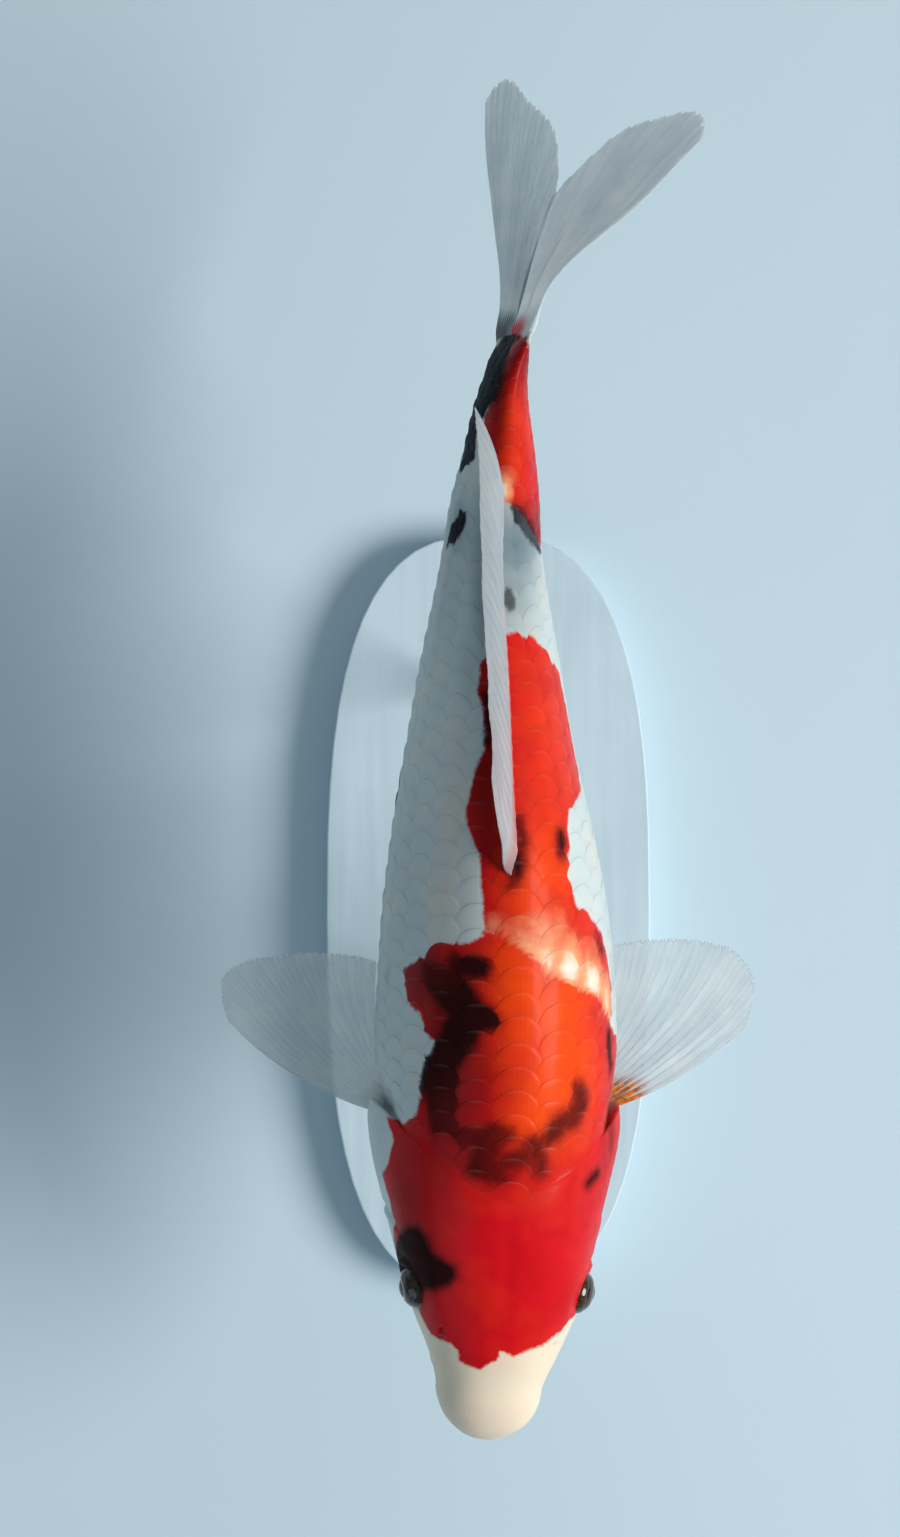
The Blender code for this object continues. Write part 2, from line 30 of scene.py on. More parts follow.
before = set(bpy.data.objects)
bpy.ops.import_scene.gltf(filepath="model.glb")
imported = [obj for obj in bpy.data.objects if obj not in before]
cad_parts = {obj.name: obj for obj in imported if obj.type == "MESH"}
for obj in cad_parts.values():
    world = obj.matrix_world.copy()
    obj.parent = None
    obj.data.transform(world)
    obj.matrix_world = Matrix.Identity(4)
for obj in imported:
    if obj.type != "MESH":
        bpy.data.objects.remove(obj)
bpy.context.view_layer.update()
print("frame loaded:", len(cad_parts), "nodes")

bpy.context.scene.view_settings.view_transform = "Standard"
camera = {"spot": (-0.0133, 0.0503, 1.3), "lens": 87}


def makeCamera():
    made = bpy.data.objects.new("topCamera", bpy.data.cameras.new("topCamera"))
    made.location = camera["spot"]
    made.data.lens = camera["lens"]
    made.data.clip_start = 0.01
    bpy.context.scene.collection.objects.link(made)
    bpy.context.scene.camera = made


makeCamera()

koi = {
    "length": 0.343, "axisHeight": 0.15, "snoutY": -0.157, "rootSlope": 0.2, "snoutRounding": 0.04,
    "wedge": (0.968, 1.01),
    "back": (
        (0, 0.037), (0.04, 0.046), (0.1, 0.073), (0.15, 0.093), (0.2, 0.11), (0.25, 0.124), (0.32, 0.14),
        (0.42, 0.152), (0.5, 0.153), (0.6, 0.14), (0.7, 0.116), (0.8, 0.087), (0.88, 0.068), (0.95, 0.06),
        (0.985, 0.0595), (1.01, 0.05), (1.03, 0.046),
    ),
    "belly": (
        (0, 0.034), (0.04, 0.045), (0.1, 0.067), (0.15, 0.084), (0.2, 0.099), (0.28, 0.118), (0.38, 0.133),
        (0.48, 0.135), (0.58, 0.125), (0.68, 0.103), (0.78, 0.077), (0.87, 0.059), (0.94, 0.054),
        (0.985, 0.0545), (1.01, 0.046), (1.03, 0.042),
    ),
    "halfWidth": (
        (0, 0.045), (0.035, 0.0465), (0.055, 0.0495), (0.08, 0.059), (0.115, 0.0735), (0.137, 0.0805),
        (0.18, 0.0915), (0.22, 0.0995), (0.27, 0.106), (0.31, 0.1078), (0.37, 0.1085), (0.42, 0.106),
        (0.477, 0.101), (0.54, 0.0912), (0.576, 0.0845), (0.621, 0.0756), (0.7, 0.0625), (0.8, 0.0452),
        (0.85, 0.0396), (0.892, 0.0318), (0.937, 0.023), (0.965, 0.0168), (1, 0.0122), (1.03, 0.009),
    ),
    "backFullness": ((0, 2), (0.06, 2.2), (0.15, 2.25), (0.3, 2.05), (0.5, 1.95), (1.03, 1.95)),
    "bellyFullness": ((0, 2), (0.06, 2.3), (0.15, 2.45), (0.3, 2.3), (0.5, 2.2), (1.03, 2)),
    "spine": (
        (0, -0.0056), (0.05, -0.0038), (0.09, -0.001), (0.13, 0.0004), (0.25, 0), (0.34, 0.0018),
        (0.42, 0.0025), (0.5, 0.0002), (0.6, -0.0033), (0.68, -0.0031), (0.76, -0.002), (0.82, 0.0001),
        (0.88, 0.005), (0.94, 0.0086), (0.97, 0.0134), (1, 0.02),
    ),
    "yaw": ((0, 1.5), (0.15, 1.5), (0.32, 0), (1, 0)),
    "bank": (
        (0, 5), (0.2, 6.5), (0.5, 7.5), (0.68, 7), (0.8, 5), (0.9, 7), (0.96, 9.4), (1, 16.5),
    ),
}
gill = {
    "centre": 0.17, "radius": 0.134, "top": 0.062, "bottom": -0.09, "lift": 0.0062, "recess": 0.008,
    "tuck": 0.008,
}
size = koi["length"]
perMm = 1000 * size


def along(profile, station):
    x, y = np.array(profile, float).T
    slope = np.gradient(y, x)
    at = np.clip(station, x[0], x[-1])
    i = np.clip(np.searchsorted(x, at, side="right") - 1, 0, len(x) - 2)
    step = x[i + 1] - x[i]
    t = (at - x[i]) / step
    first = y[i] * (1 + 2 * t) * (1 - t) ** 2 + slope[i] * step * t * (1 - t) ** 2
    return first + y[i + 1] * t**2 * (3 - 2 * t) - slope[i + 1] * step * t**2 * (1 - t)


def eased(low, high, value):
    t = np.clip((value - low) / (high - low), 0, 1)
    return t * t * (3 - 2 * t)


def faded(low, high, value):
    return 1 - eased(low, high, value)


def between(value, low, full, waning, high):
    return eased(low, full, value) * faded(waning, high, value)


def bump(value, middle, width):
    return np.exp(-(((value - middle) / width) ** 2))


def unit(vectors):
    return vectors / np.maximum(np.linalg.norm(vectors, axis=-1, keepdims=True), 1e-12)


def placed(station, side, height):
    station, side, height = np.broadcast_arrays(*map(np.asarray, (station, side, height)))
    inside = np.clip(station, 0, 1)
    slope = (along(koi["spine"], inside + 0.01) - along(koi["spine"], inside - 0.01)) / 0.02
    ending = eased(0.96, 0.995, inside)
    turned = np.arctan(slope * (1 - ending) + koi["rootSlope"] * ending)
    heading = turned + np.radians(along(koi["yaw"], inside))
    spineX = along(koi["spine"], inside) + np.maximum(station - 1, 0) * koi["rootSlope"]
    bank = np.radians(along(koi["bank"], inside))
    across = side * np.cos(bank) + height * np.sin(bank)
    up = height * np.cos(bank) - side * np.sin(bank)
    x = (spineX + across * np.cos(heading)) * size
    y = koi["snoutY"] + (station - across * np.sin(heading)) * size
    return np.stack([x, y, koi["axisHeight"] + up * size], axis=-1)


def gillStep(station, height, cover):
    pastEdge = np.hypot(np.maximum(station - gill["centre"], 0), height) - gill["radius"]
    if cover:
        rise = eased(0.17, 0.22, station) * eased(-0.105, -0.015, pastEdge)
        return gill["lift"] * gillShare(height) * rise
    return -gill["recess"] * gillShare(height) * faded(0, 0.05, pastEdge)


def gillShare(height):
    aboveThroat = eased(gill["bottom"] - 0.02, gill["bottom"] + 0.03, height)
    return aboveThroat * faded(gill["top"] - 0.04, gill["top"] + 0.025, height)


def flank(station, turn, cover=None):
    # turn is 0 at the ridge and pi at the belly, and negative on the fish's right
    cap = np.sqrt(1 - np.clip(1 - station / koi["snoutRounding"], 0, 1) ** 2)
    upper = np.cos(turn) > 0
    power = 2 / np.where(upper, along(koi["backFullness"], station), along(koi["bellyFullness"], station))
    tall = np.where(upper, along(koi["back"], station), along(koi["belly"], station)) * cap
    height = tall * np.sign(np.cos(turn)) * np.abs(np.cos(turn)) ** power
    wide = along(koi["halfWidth"], station) * cap * (1 - 0.9 * eased(koi["wedge"][0], koi["wedge"][1], station))
    if cover is not None:
        wide = wide + gillStep(station, height, cover)
    return wide * np.sign(np.sin(turn)) * np.abs(np.sin(turn)) ** power, height


def surface(station, turn, cover=None):
    return placed(station, *flank(station, turn, cover))


def outward(station, turn, cover=None):
    # unit normals of the body at each station and turn
    nearby, swing = 0.002, 0.02
    ahead = surface(np.maximum(station - nearby, 1e-4), turn, cover)
    backwards = surface(station + nearby, turn, cover) - ahead
    sideways = surface(station, turn + swing, cover) - surface(station, turn - swing, cover)
    return unit(np.cross(sideways, backwards))


def lifted(station, turn, lift, cover=None):
    # points that stand off the body by lift millimetres
    return surface(station, turn, cover) + outward(station, turn, cover) * (np.asarray(lift)[..., None] / 1000)


# The girth chart: millimetres round the body from the ridge, positive to the fish's left
chart = {"stations": np.linspace(0, 1.03, 207), "turns": np.linspace(0, math.pi, 241), "shares": 241}


def makeChart():
    s, a = chart["stations"][:, None], chart["turns"][None, :]
    side, height = flank(np.maximum(s, 0.004), a)
    steps = np.hypot(np.diff(side, axis=1), np.diff(height, axis=1)) * perMm
    girth = np.concatenate([np.zeros((len(s), 1)), np.cumsum(steps, axis=1)], axis=1)
    chart["half"] = girth[:, -1]
    shares = np.linspace(0, 1, chart["shares"])
    rows = [np.interp(shares, g / g[-1], chart["turns"]) for g in girth]
    chart["turnOfShare"] = np.array(rows)
    chart["girthOfTurn"] = girth


makeChart()


def picked(table, station, share):
    # bilinear reading of a table by station and by a share of its width
    rows, columns = table.shape
    x = np.clip(station / chart["stations"][-1], 0, 1) * (rows - 1)
    y = np.clip(share, 0, 1) * (columns - 1)
    i = np.minimum(x.astype(int), rows - 2)
    j = np.minimum(y.astype(int), columns - 2)
    u, v = x - i, y - j
    near = table[i, j] * (1 - v) + table[i, j + 1] * v
    far = table[i + 1, j] * (1 - v) + table[i + 1, j + 1] * v
    return near * (1 - u) + far * u


def halfGirth(station):
    return np.interp(station, chart["stations"], chart["half"])


def girthAt(station, turn):
    station, turn = np.broadcast_arrays(np.asarray(station, float), np.asarray(turn, float))
    return np.sign(turn) * picked(chart["girthOfTurn"], station, np.abs(turn) / math.pi)


def turnAt(station, girth):
    station, girth = np.broadcast_arrays(np.asarray(station, float), np.asarray(girth, float))
    half = halfGirth(station)
    past = np.abs(girth) > half
    reach = np.where(past, 2 * half - np.abs(girth), np.abs(girth))
    turn = picked(chart["turnOfShare"], station, reach / half)
    return np.sign(girth) * np.where(past, 2 * math.pi - turn, turn)


def gillEdge(turn):
    # station of the gill cover's rear edge, found by halving
    low, high = np.full(np.shape(turn), 0.18), np.full(np.shape(turn), 0.32)
    for _ in range(30):
        middle = (low + high) / 2
        height = flank(middle, turn)[1]
        beyond = np.hypot(middle - gill["centre"], height) > gill["radius"]
        low, high = np.where(beyond, low, middle), np.where(beyond, middle, high)
    return (low + high) / 2


# Markings: loops of (station in thousandths, degrees from the ridge), negative on the fish's right
redLoops = {
    "headAndShoulder": (
        (127, -72), (116, -70), (96, -62), (91, -40), (85, -34), (75, -36), (70, -15), (82, -1), (89, 0),
        (85, 10), (92, 21), (96, 34), (102, 40), (105, 48), (116, 56), (121, 75), (138, 98), (170, 108),
        (215, 106), (252, 112), (285, 104), (310, 96), (340, 100), (360, 88), (371, 66), (383, 56), (395, 50),
        (404, 44), (409, 36), (414, 28), (419, 22), (424, 16), (435, 10), (444, 3), (452, -4), (461, -9),
        (463, -16), (459, -19), (454, -27), (456, -36), (456, -41), (450, -46), (437, -54), (429, -63),
        (411, -58), (397, -56), (389, -49), (376, -46), (366, -37), (345, -44), (332, -46), (302, -49),
        (292, -53), (289, -60), (294, -69), (274, -63), (252, -68), (241, -77), (220, -74), (197, -76),
        (180, -88), (150, -88),
    ),
    "dorsal": (
        (722, -2), (724, 14), (722, 28), (710, 40), (699, 50), (687, 60), (660, 67), (632, 69), (596, 68),
        (583, 61), (574, 49), (566, 40), (549, 36), (532, 36), (518, 31), (500, 32), (485, 34), (478, 38),
        (468, 44), (455, 54), (442, 56), (430, 48), (440, 25), (452, 5), (462, -8), (468, -16), (478, -19),
        (490, -19), (504, -20), (522, -20), (537, -22), (554, -26), (574, -28), (587, -25), (603, -24),
        (618, -19), (638, -18), (659, -20), (674, -23), (686, -22), (697, -21), (706, -12),
    ),
    "stem": (
        (1004, -62), (994, -60), (980, -54), (964, -44), (949, -38), (930, -42), (911, -52), (890, -33),
        (871, -18), (857, -8), (844, -1), (838, 10), (832, 23), (824, 38), (810, 54), (806, 68), (816, 86),
        (846, 103), (872, 104), (890, 114), (915, 118), (930, 128), (960, 126), (984, 122), (979, 96),
        (986, 72), (978, 44), (985, 24), (980, 8), (990, -6), (986, -16), (998, -28), (992, -38), (1006, -50),
    ),
    "veil": (
        (463, -18), (461, -9), (452, -4), (444, 3), (435, 10), (424, 16), (419, 22), (414, 28), (409, 36),
        (404, 44), (395, 50), (383, 57), (385, 63), (402, 62), (420, 60), (442, 56), (468, 42), (490, 30),
        (500, 5), (490, -12), (474, -19),
    ),
}
# Black markings: chains of (station in thousandths, degrees, radius in mm), and loops
blackChains = (
    ((430, -46, 3.4), (422, -40, 5.2), (408, -31, 6.4), (394, -24, 5.4), (375, -28, 6.6),
     (352, -33, 5.8), (335, -36, 5.4), (319, -35, 5.2), (304, -34, 4.4), (291, -36, 2.6)),
    ((345, -43, 3), (325, -45, 2.6)),
    ((437, -32, 3.4), (433, -20, 3)),
    ((390, -22, 4.6), (387, -13, 2.8)),
    ((283, -15, 2.4), (284, -24, 2.8), (291, -29, 2.6)),
    ((287, -4, 2.6), (289, -10, 3.1), (274, -11, 4.6), (259, -13, 4.4), (252, -8, 3.8), (248, -4, 2.2)),
    ((269, 6, 2.5), (265, 1, 2.8), (262, -3, 2.4)),
    ((277, 8, 2.8), (269, 11, 2.4), (255, 14, 1.9)),
    ((326, 32, 2.7), (314, 34, 2.6), (302, 30, 3), (297, 22, 2.8), (285, 17, 2)),
    ((370, 56, 1.9), (355, 58, 2.7), (343, 60, 2.1)),
    ((240, 44, 1.2), (245, 48, 1.6), (249, 52, 1.2)),
    ((454, 48, 1), (447, 50, 1.5), (441, 52, 1)),
    ((544, 29, 2), (536, 29, 2.8), (529, 28, 2.2)),
    ((560, 2, 1.1), (540, 3, 1.5), (526, 1, 1.7), (512, -1, 1.5), (504, -3, 1.2)),
    ((666, -16, 1.5), (648, -15, 1.8), (628, -16, 1.7)),
    ((836, 12, 1.2), (828, 23, 2.6), (817, 38, 3), (806, 54, 2.2), (800, 64, 1.2)),
    ((830, -56, 1.6), (825, -53, 2.9), (818, -58, 3.7), (812, -66, 3), (803, -76, 1.5)),
    ((760, 7, 1.3), (752, 7, 2.3), (744, 8, 1.5)),
    ((595, -97, 1.8), (583, -101, 2.9), (570, -104, 2.7), (558, -109, 1.7)),
    ((742, 90, 1), (728, 95, 2), (714, 101, 2.8), (700, 104, 1.2)),
)
blackLoops = (
    ((1030, -66), (997, -64), (981, -50), (966, -37), (951, -29), (939, -29), (927, -37),
     (919, -52), (910, -58), (898, -60), (881, -55), (873, -62), (867, -76), (874, -90),
     (888, -98), (893, -110), (914, -117), (932, -106), (950, -110), (968, -124), (1030, -122)),
    ((199, -60), (201, -50), (191, -45), (178, -42), (170, -34), (167, -28), (158, -27),
     (149, -33), (143, -43), (141, -54), (131, -65), (121, -76), (117, -88), (121, -99),
     (134, -106), (150, -103), (160, -95), (173, -86), (186, -74)),
)
# Soft marks: (station in thousandths, degrees, length and width in mm, strength). Flecks are pale
# spots of the red or a painted sheen on the white, and a thin cloud lets the red show through the black
clouds = {
    # grey under the white: ghost black under the skin, and painted shade on the fish's right flank, beside the
    # dorsal fin and over the white of the tail stem
    "greyCloud": (
        (752, 8, 8, 4.4, 0.8), (802, 20, 17, 15, 1), (768, 14, 16, 11, 0.75), (745, 26, 16, 10, 0.3),
        (800, -70, 26, 14, 0.3), (423, -76, 3.6, 2.2, 0.35), (755, -22, 18, 4, 0.55), (690, -30, 12, 6, 0.25),
        (860, -80, 9, 6, 0.3), (420, 68, 9, 5, 0.25), (500, -62, 30, 9, 0.1), (811, 40, 12, 9, 0.95),
        (817, -59, 9, 8, 0.75),
    ),
    # maroon in the red: black lying under it, and painted shade over the red of the fish's right side
    "maroonCloud": (
        (430, -50, 15, 12, 1), (395, -36, 20, 12, 0.8), (345, -40, 22, 11, 0.9), (275, -28, 16, 16, 0.65),
        (330, -21, 26, 11, 0.75), (220, -58, 26, 12, 0.6), (160, -58, 18, 12, 0.6), (620, -20, 40, 7, 0.8),
        (930, -30, 22, 6, 0.7), (265, 2, 10, 14, 0.4), (822, 56, 9, 9, 0.85), (835, 84, 14, 8, 0.7),
        (831, 32, 7, 7, 0.7), (974, 42, 14, 22, 0.85), (300, 27, 12, 7, 0.3), (285, 64, 14, 4.5, 0.75),
        (262, 58, 8, 4, 0.5),
    ),
    "paleCloud": (
        (466, -13, 5, 5, 0.42), (450, 2, 6, 6, 0.7), (440, 13, 7, 6, 0.9), (428, 26, 9, 7, 1),
        (414, 41, 9, 8, 1), (398, 54, 8, 6, 0.9), (462, 14, 6, 9, 0.5),
    ),
    # pale spots of the red, and one wide painted sheen on the white of the fish's right flank
    "flecks": (
        (853, -4, 4.6, 2.8, 1), (530, -35, 40, 9, 0.15),
    ),
    # orange in the red: partly its own orange, partly painted light where the red turns to the key lamp on the
    # fish's left
    "orangeCloud": (
        (404, 14, 26, 22, 0.95), (345, 22, 28, 18, 1), (300, 14, 14, 13, 0.95), (500, 14, 30, 14, 0.75),
        (620, 30, 38, 18, 0.45), (890, 16, 24, 8, 0.45),
    ),
    "thinCloud": (
        (436, -44, 9, 9, 0.35), (268, 2, 16, 16, 0.42), (305, 28, 14, 8, 0.4), (284, -24, 8, 6, 0.45),
        (813, 40, 12, 9, 0.22), (752, 7, 9, 6, 0.3), (575, -103, 14, 10, 0.2), (296, -35, 12, 9, 0.28),
    ),
}


def toChart(thousandths, degrees):
    station = thousandths / 1000
    return station * perMm, girthAt(station, np.radians(degrees))


def segmentDistance(x, y, first, last):
    across = (last[0] - first[0], last[1] - first[1])
    long = max(across[0] ** 2 + across[1] ** 2, 1e-9)
    t = np.clip(((x - first[0]) * across[0] + (y - first[1]) * across[1]) / long, 0, 1)
    return np.hypot(x - first[0] - t * across[0], y - first[1] - t * across[1]), t


def loopDepth(loop, x, y):
    # millimetres inside the loop's edge, negative outside
    corners = [toChart(*point) for point in loop]
    nearest = np.full(x.shape, 1e9)
    inside = np.zeros(x.shape, bool)
    for first, last in zip(corners, corners[1:] + corners[:1]):
        nearest = np.minimum(nearest, segmentDistance(x, y, first, last)[0])
        if first[1] != last[1]:
            crosses = (first[1] > y) != (last[1] > y)
            at = first[0] + (y - first[1]) * (last[0] - first[0]) / (last[1] - first[1])
            inside ^= crosses & (x < at)
    return np.where(inside, nearest, -nearest)


def chainDepth(chain, x, y):
    depth = np.full(x.shape, -1e9)
    points = [(*toChart(s, d), radius) for s, d, radius in chain]
    for first, last in zip(points, points[1:]):
        distance, t = segmentDistance(x, y, first, last)
        depth = np.maximum(depth, first[2] + (last[2] - first[2]) * t - distance)
    return depth


def cloud(marks, x, y):
    total = np.zeros(x.shape)
    for station, degrees, long, wide, strength in marks:
        atX, atY = toChart(station, degrees)
        falloff = np.exp(-(((x - atX) / long) ** 2) - ((y - atY) / wide) ** 2)
        total = np.maximum(total, strength * falloff)
    return total


def markings(station, turn):
    x, y = station * perMm, girthAt(station, turn)
    reds = {name: loopDepth(loop, x, y) for name, loop in redLoops.items()}
    blacks = [chainDepth(chain, x, y) for chain in blackChains] + [loopDepth(loop, x, y) for loop in blackLoops]
    marks = {name: cloud(spots, x, y) for name, spots in clouds.items()}
    marks["paleCloud"] = np.maximum(marks["paleCloud"] * eased(-0.5, 0.6, reds["veil"]), marks.pop("flecks"))
    for name, depths in (("redDepth", list(reds.values())), ("blackDepth", blacks)):
        marks[name] = np.clip(np.max(depths, axis=0), -12, 12)
    return marks


def cells(grid):
    # the four corners of each cell of a grid
    corners = np.stack([grid[:-1, :-1], grid[:-1, 1:], grid[1:, 1:], grid[1:, :-1]], axis=2)
    return corners.reshape(-1, 4, *grid.shape[2:])


def places(rows, columns):
    # each grid point's (column, row) share
    return np.stack(np.meshgrid(np.linspace(0, 1, columns), np.linspace(0, 1, rows)), axis=-1)


def tube(rows, around):
    # faces of a closed tube with a point at each end, and their corners' places on the map
    grid = np.arange(rows * around).reshape(rows, around)
    grid, spots = np.concatenate([grid, grid[:, :1]], axis=1), places(rows, around + 1)
    faces, corners = [cells(grid)], [cells(spots)]
    here, following = slice(None, -1), slice(1, None)
    for k, row, first, second, beyond in ((0, 0, following, here, -1 / 64), (1, -1, here, following, 65 / 64)):
        tip = np.full(around, rows * around + k)
        faces.append(np.stack([tip, grid[row, first], grid[row, second]], axis=1))
        tips = (spots[row, here] + spots[row, following]) / 2
        tips[:, 1] = beyond
        corners.append(np.stack([tips, spots[row, first], spots[row, second]], axis=1))
    return faces, [c * (0.98, 0.96) + (0.01, 0.02) for c in corners]


def plate(rows, columns):
    # faces of a thin plate: two grids of points, joined by a rim
    grid = np.arange(rows * columns).reshape(rows, columns)
    quads = cells(grid)
    ring = np.concatenate([grid[0, :-1], grid[:-1, -1], grid[-1, :0:-1], grid[:0:-1, 0]])
    after = np.roll(ring, -1)
    rim = np.stack([ring, ring + grid.size, after + grid.size, after], axis=1)
    return np.concatenate([quads, quads[:, ::-1] + grid.size, rim])


def addObject(name, data):
    made = bpy.data.objects.new(name, data)
    bpy.context.scene.collection.objects.link(made)
    return made


def makePiece(name, points, faces, corners, values, material, slot, replaces=()):
    # faces are arrays of 3 or 4 columns, and corners hold the map place of each of their corners
    mesh = bpy.data.meshes.new(name)
    mesh.vertices.add(len(points))
    mesh.vertices.foreach_set("co", points.astype(np.float32).ravel())
    loops = np.concatenate([f.ravel() for f in faces]).astype(np.int32)
    sizes = np.concatenate([np.full(len(f), f.shape[1]) for f in faces])
    mesh.loops.add(len(loops))
    mesh.loops.foreach_set("vertex_index", loops)
    mesh.polygons.add(len(sizes))
    mesh.polygons.foreach_set("loop_start", (np.cumsum(sizes) - sizes).astype(np.int32))
    mesh.update(calc_edges=True)
    mesh.polygons.foreach_set("use_smooth", np.ones(len(sizes), bool))
    for label, value in values.items():
        layer = mesh.attributes.new(label, "FLOAT", "POINT")
        layer.data.foreach_set("value", value.astype(np.float32).ravel())
    layer = mesh.uv_layers.new(name="OFBake")
    layer.data.foreach_set("uv", np.concatenate([c.ravel() for c in corners]).astype(np.float32))
    mesh.materials.append(material)
    mesh.update()
    made = addObject(name, mesh)
    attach(made, "root")
    if replaces:
        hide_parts(*replaces)
    print(name, "made:", len(sizes), "faces")


# Node helpers: they all add to the tree that is being worked on
work = {"tree": None}


def link(value, socket):
    work["tree"].links.new(value, socket)


def addNode(kind, sockets=None, **settings):
    made = work["tree"].nodes.new(kind)
    for key, value in settings.items():
        setattr(made, key, value)
    for key, value in (sockets or {}).items():
        if isinstance(value, bpy.types.NodeSocket):
            link(value, made.inputs[key])
        else:
            made.inputs[key].default_value = value
    return made


def calc(operation, *values, clamp=False):
    return addNode("ShaderNodeMath", dict(enumerate(values)), operation=operation, use_clamp=clamp).outputs[0]


def times(*values):
    return calc("MULTIPLY", *values)


def plus(*values, clamp=False):
    return calc("ADD", *values, clamp=clamp)


def mixed(share, first, second, blend="MIX"):
    sockets = {0: share, 6: first, 7: second}
    return addNode("ShaderNodeMix", sockets, data_type="RGBA", blend_type=blend).outputs[2]


def shaded(share, colour, tint):
    return mixed(share, colour, tint, "MULTIPLY")


def ramped(value, low, high, start=0, end=1):
    sockets = {"Value": value, "From Min": low, "From Max": high, "To Min": start, "To Max": end}
    return addNode("ShaderNodeMapRange", sockets, interpolation_type="SMOOTHSTEP").outputs[0]


def readValue(name):
    return addNode("ShaderNodeAttribute", attribute_name=name).outputs["Fac"]


def noise(scale, detail=2, stretch=(1, 1, 1)):
    spot = addNode("ShaderNodeTexCoord").outputs["Object"]
    spot = addNode("ShaderNodeMapping", {"Vector": spot, "Scale": stretch}).outputs[0]
    return addNode("ShaderNodeTexNoise", {"Vector": spot, "Scale": scale, "Detail": detail}).outputs["Fac"]


def patchy(scale, low, high, start=0, end=1, detail=3):
    return ramped(noise(scale, detail), low, high, start, end)


def newMaterial(name, plain):
    made = bpy.data.materials.new(name)
    made.use_nodes = True
    work["tree"] = made.node_tree
    shader = made.node_tree.nodes["Principled BSDF"].inputs
    for key, value in plain.items():
        shader[key].default_value = value
    return made, shader


def finish(shader, colour, rough, height, strength, distance=0.0002):
    sockets = {"Strength": strength, "Distance": distance, "Height": height}
    relief = addNode("ShaderNodeBump", sockets).outputs[0]
    for socket, value in (("Base Color", colour), ("Roughness", rough), ("Normal", relief)):
        link(value, shader[socket])


# Colours of the skin and the scales, linear, and how the edges of the marks are torn
pigment = {
    "crimson": (0.66, 0.004, 0.01, 1), "orange": (1, 0.074, 0.001, 1), "redDeep": (0.22, 0.001, 0.002, 1),
    "white": (0.6, 0.68, 0.69, 1), "cream": (0.9, 0.75, 0.56, 1), "peach": (0.93, 0.4, 0.2, 1),
    "palest": (0.95, 0.8, 0.66, 1), "blush": (0.9, 0.58, 0.46, 1), "ghostGreyAndShade": (0.16, 0.23, 0.27, 1),
    "blueBlack": (0.004, 0.006, 0.012, 1), "brownBlack": (0.022, 0.001, 0.001, 1),
    "pitShade": (0.05, 0.008, 0.006, 1), "warmth": (1, 0.99, 0.97, 1), "rimLight": (0.95, 0.8, 0.72, 1),
    "rootShade": (0.5, 0.45, 0.45, 1), "scaleShade": (0.72, 0.7, 0.72, 1),
    "edgeWander": 1.9, "edgeSoftness": 0.6,
}


def markingGroup():
    group = bpy.data.node_groups.new("koiMarkings", "ShaderNodeTree")
    for label, kind in (("Colour", "NodeSocketColor"), ("Black", "NodeSocketFloat")):
        group.interface.new_socket(name=label, in_out="OUTPUT", socket_type=kind)
    work["tree"] = group
    # torn edges of the red and the black
    wander = times(plus(noise(210, 3), -0.5), pigment["edgeWander"])
    wander = plus(wander, times(plus(noise(900), -0.5), 0.9))
    red = ramped(plus(readValue("redDepth"), wander), -pigment["edgeSoftness"], pigment["edgeSoftness"])
    blackDepth = plus(readValue("blackDepth"), times(wander, 1.2))
    spread = plus(red, 0.7)
    black = ramped(blackDepth, times(spread, -1), spread)
    black = times(black, calc("SUBTRACT", 1, readValue("thinCloud")))
    bruise = ramped(blackDepth, -3.6, 0.6)
    # the white
    mottle, cream = noise(60, 4), readValue("creamShare")
    white = mixed(cream, pigment["white"], pigment["cream"])
    white = mixed(ramped(mottle, 0.45, 0.75, 0, 0.35), white, pigment["cream"])
    white = mixed(times(patchy(85, 0.48, 0.72, 0, 0.3), cream), white, pigment["blush"])
    # ghost black and painted shade grey the white
    white = mixed(readValue("greyCloud"), white, pigment["ghostGreyAndShade"])
    # the red, from orange to maroon, with partly painted light in the orange and partly painted shade in the
    # maroon
    orange = plus(readValue("orangeCloud"), ramped(mottle, 0.3, 0.7, -0.12, 0.12), clamp=True)
    redColour = mixed(orange, pigment["crimson"], pigment["orange"])
    deep = patchy(110, 0.35, 0.75, 0, 0.35)
    redColour = mixed(deep, redColour, mixed(0.5, redColour, pigment["redDeep"]))
    # black under the red and painted shade turn it maroon
    maroon = ramped(plus(readValue("maroonCloud"), times(mottle, 0.2)), 0.1, 1.1)
    redColour = mixed(times(maroon, 0.92), redColour, pigment["redDeep"])
    # the pale veil over it, and a painted sheen on the white of the fish's right flank
    pale = readValue("paleCloud")
    milky = plus(pale, patchy(190, 0.3, 0.7, -0.09, 0.09), clamp=True)
    milky = times(milky, ramped(pale, 0.02, 0.15))
    veiled = mixed(ramped(milky, 0.6, 1), pigment["peach"], pigment["palest"])
    redColour = mixed(ramped(milky, 0, 0.8), redColour, veiled)
    colour = mixed(red, mixed(times(pale, 0.75), white, pigment["peach"]), redColour)
    colour = mixed(times(times(bruise, red), 0.6), colour, pigment["redDeep"])
    colour = mixed(black, colour, mixed(red, pigment["blueBlack"], pigment["brownBlack"]))
    # painted shade in the crevices: mouth line, nostrils, eye grooves, gill slit and scale pores
    colour = shaded(times(readValue("pit"), 0.425), colour, pigment["pitShade"])
    leave = group.nodes.new("NodeGroupOutput").inputs
    link(colour, leave["Colour"])
    link(black, leave["Black"])
    return group


markingNodes = markingGroup()


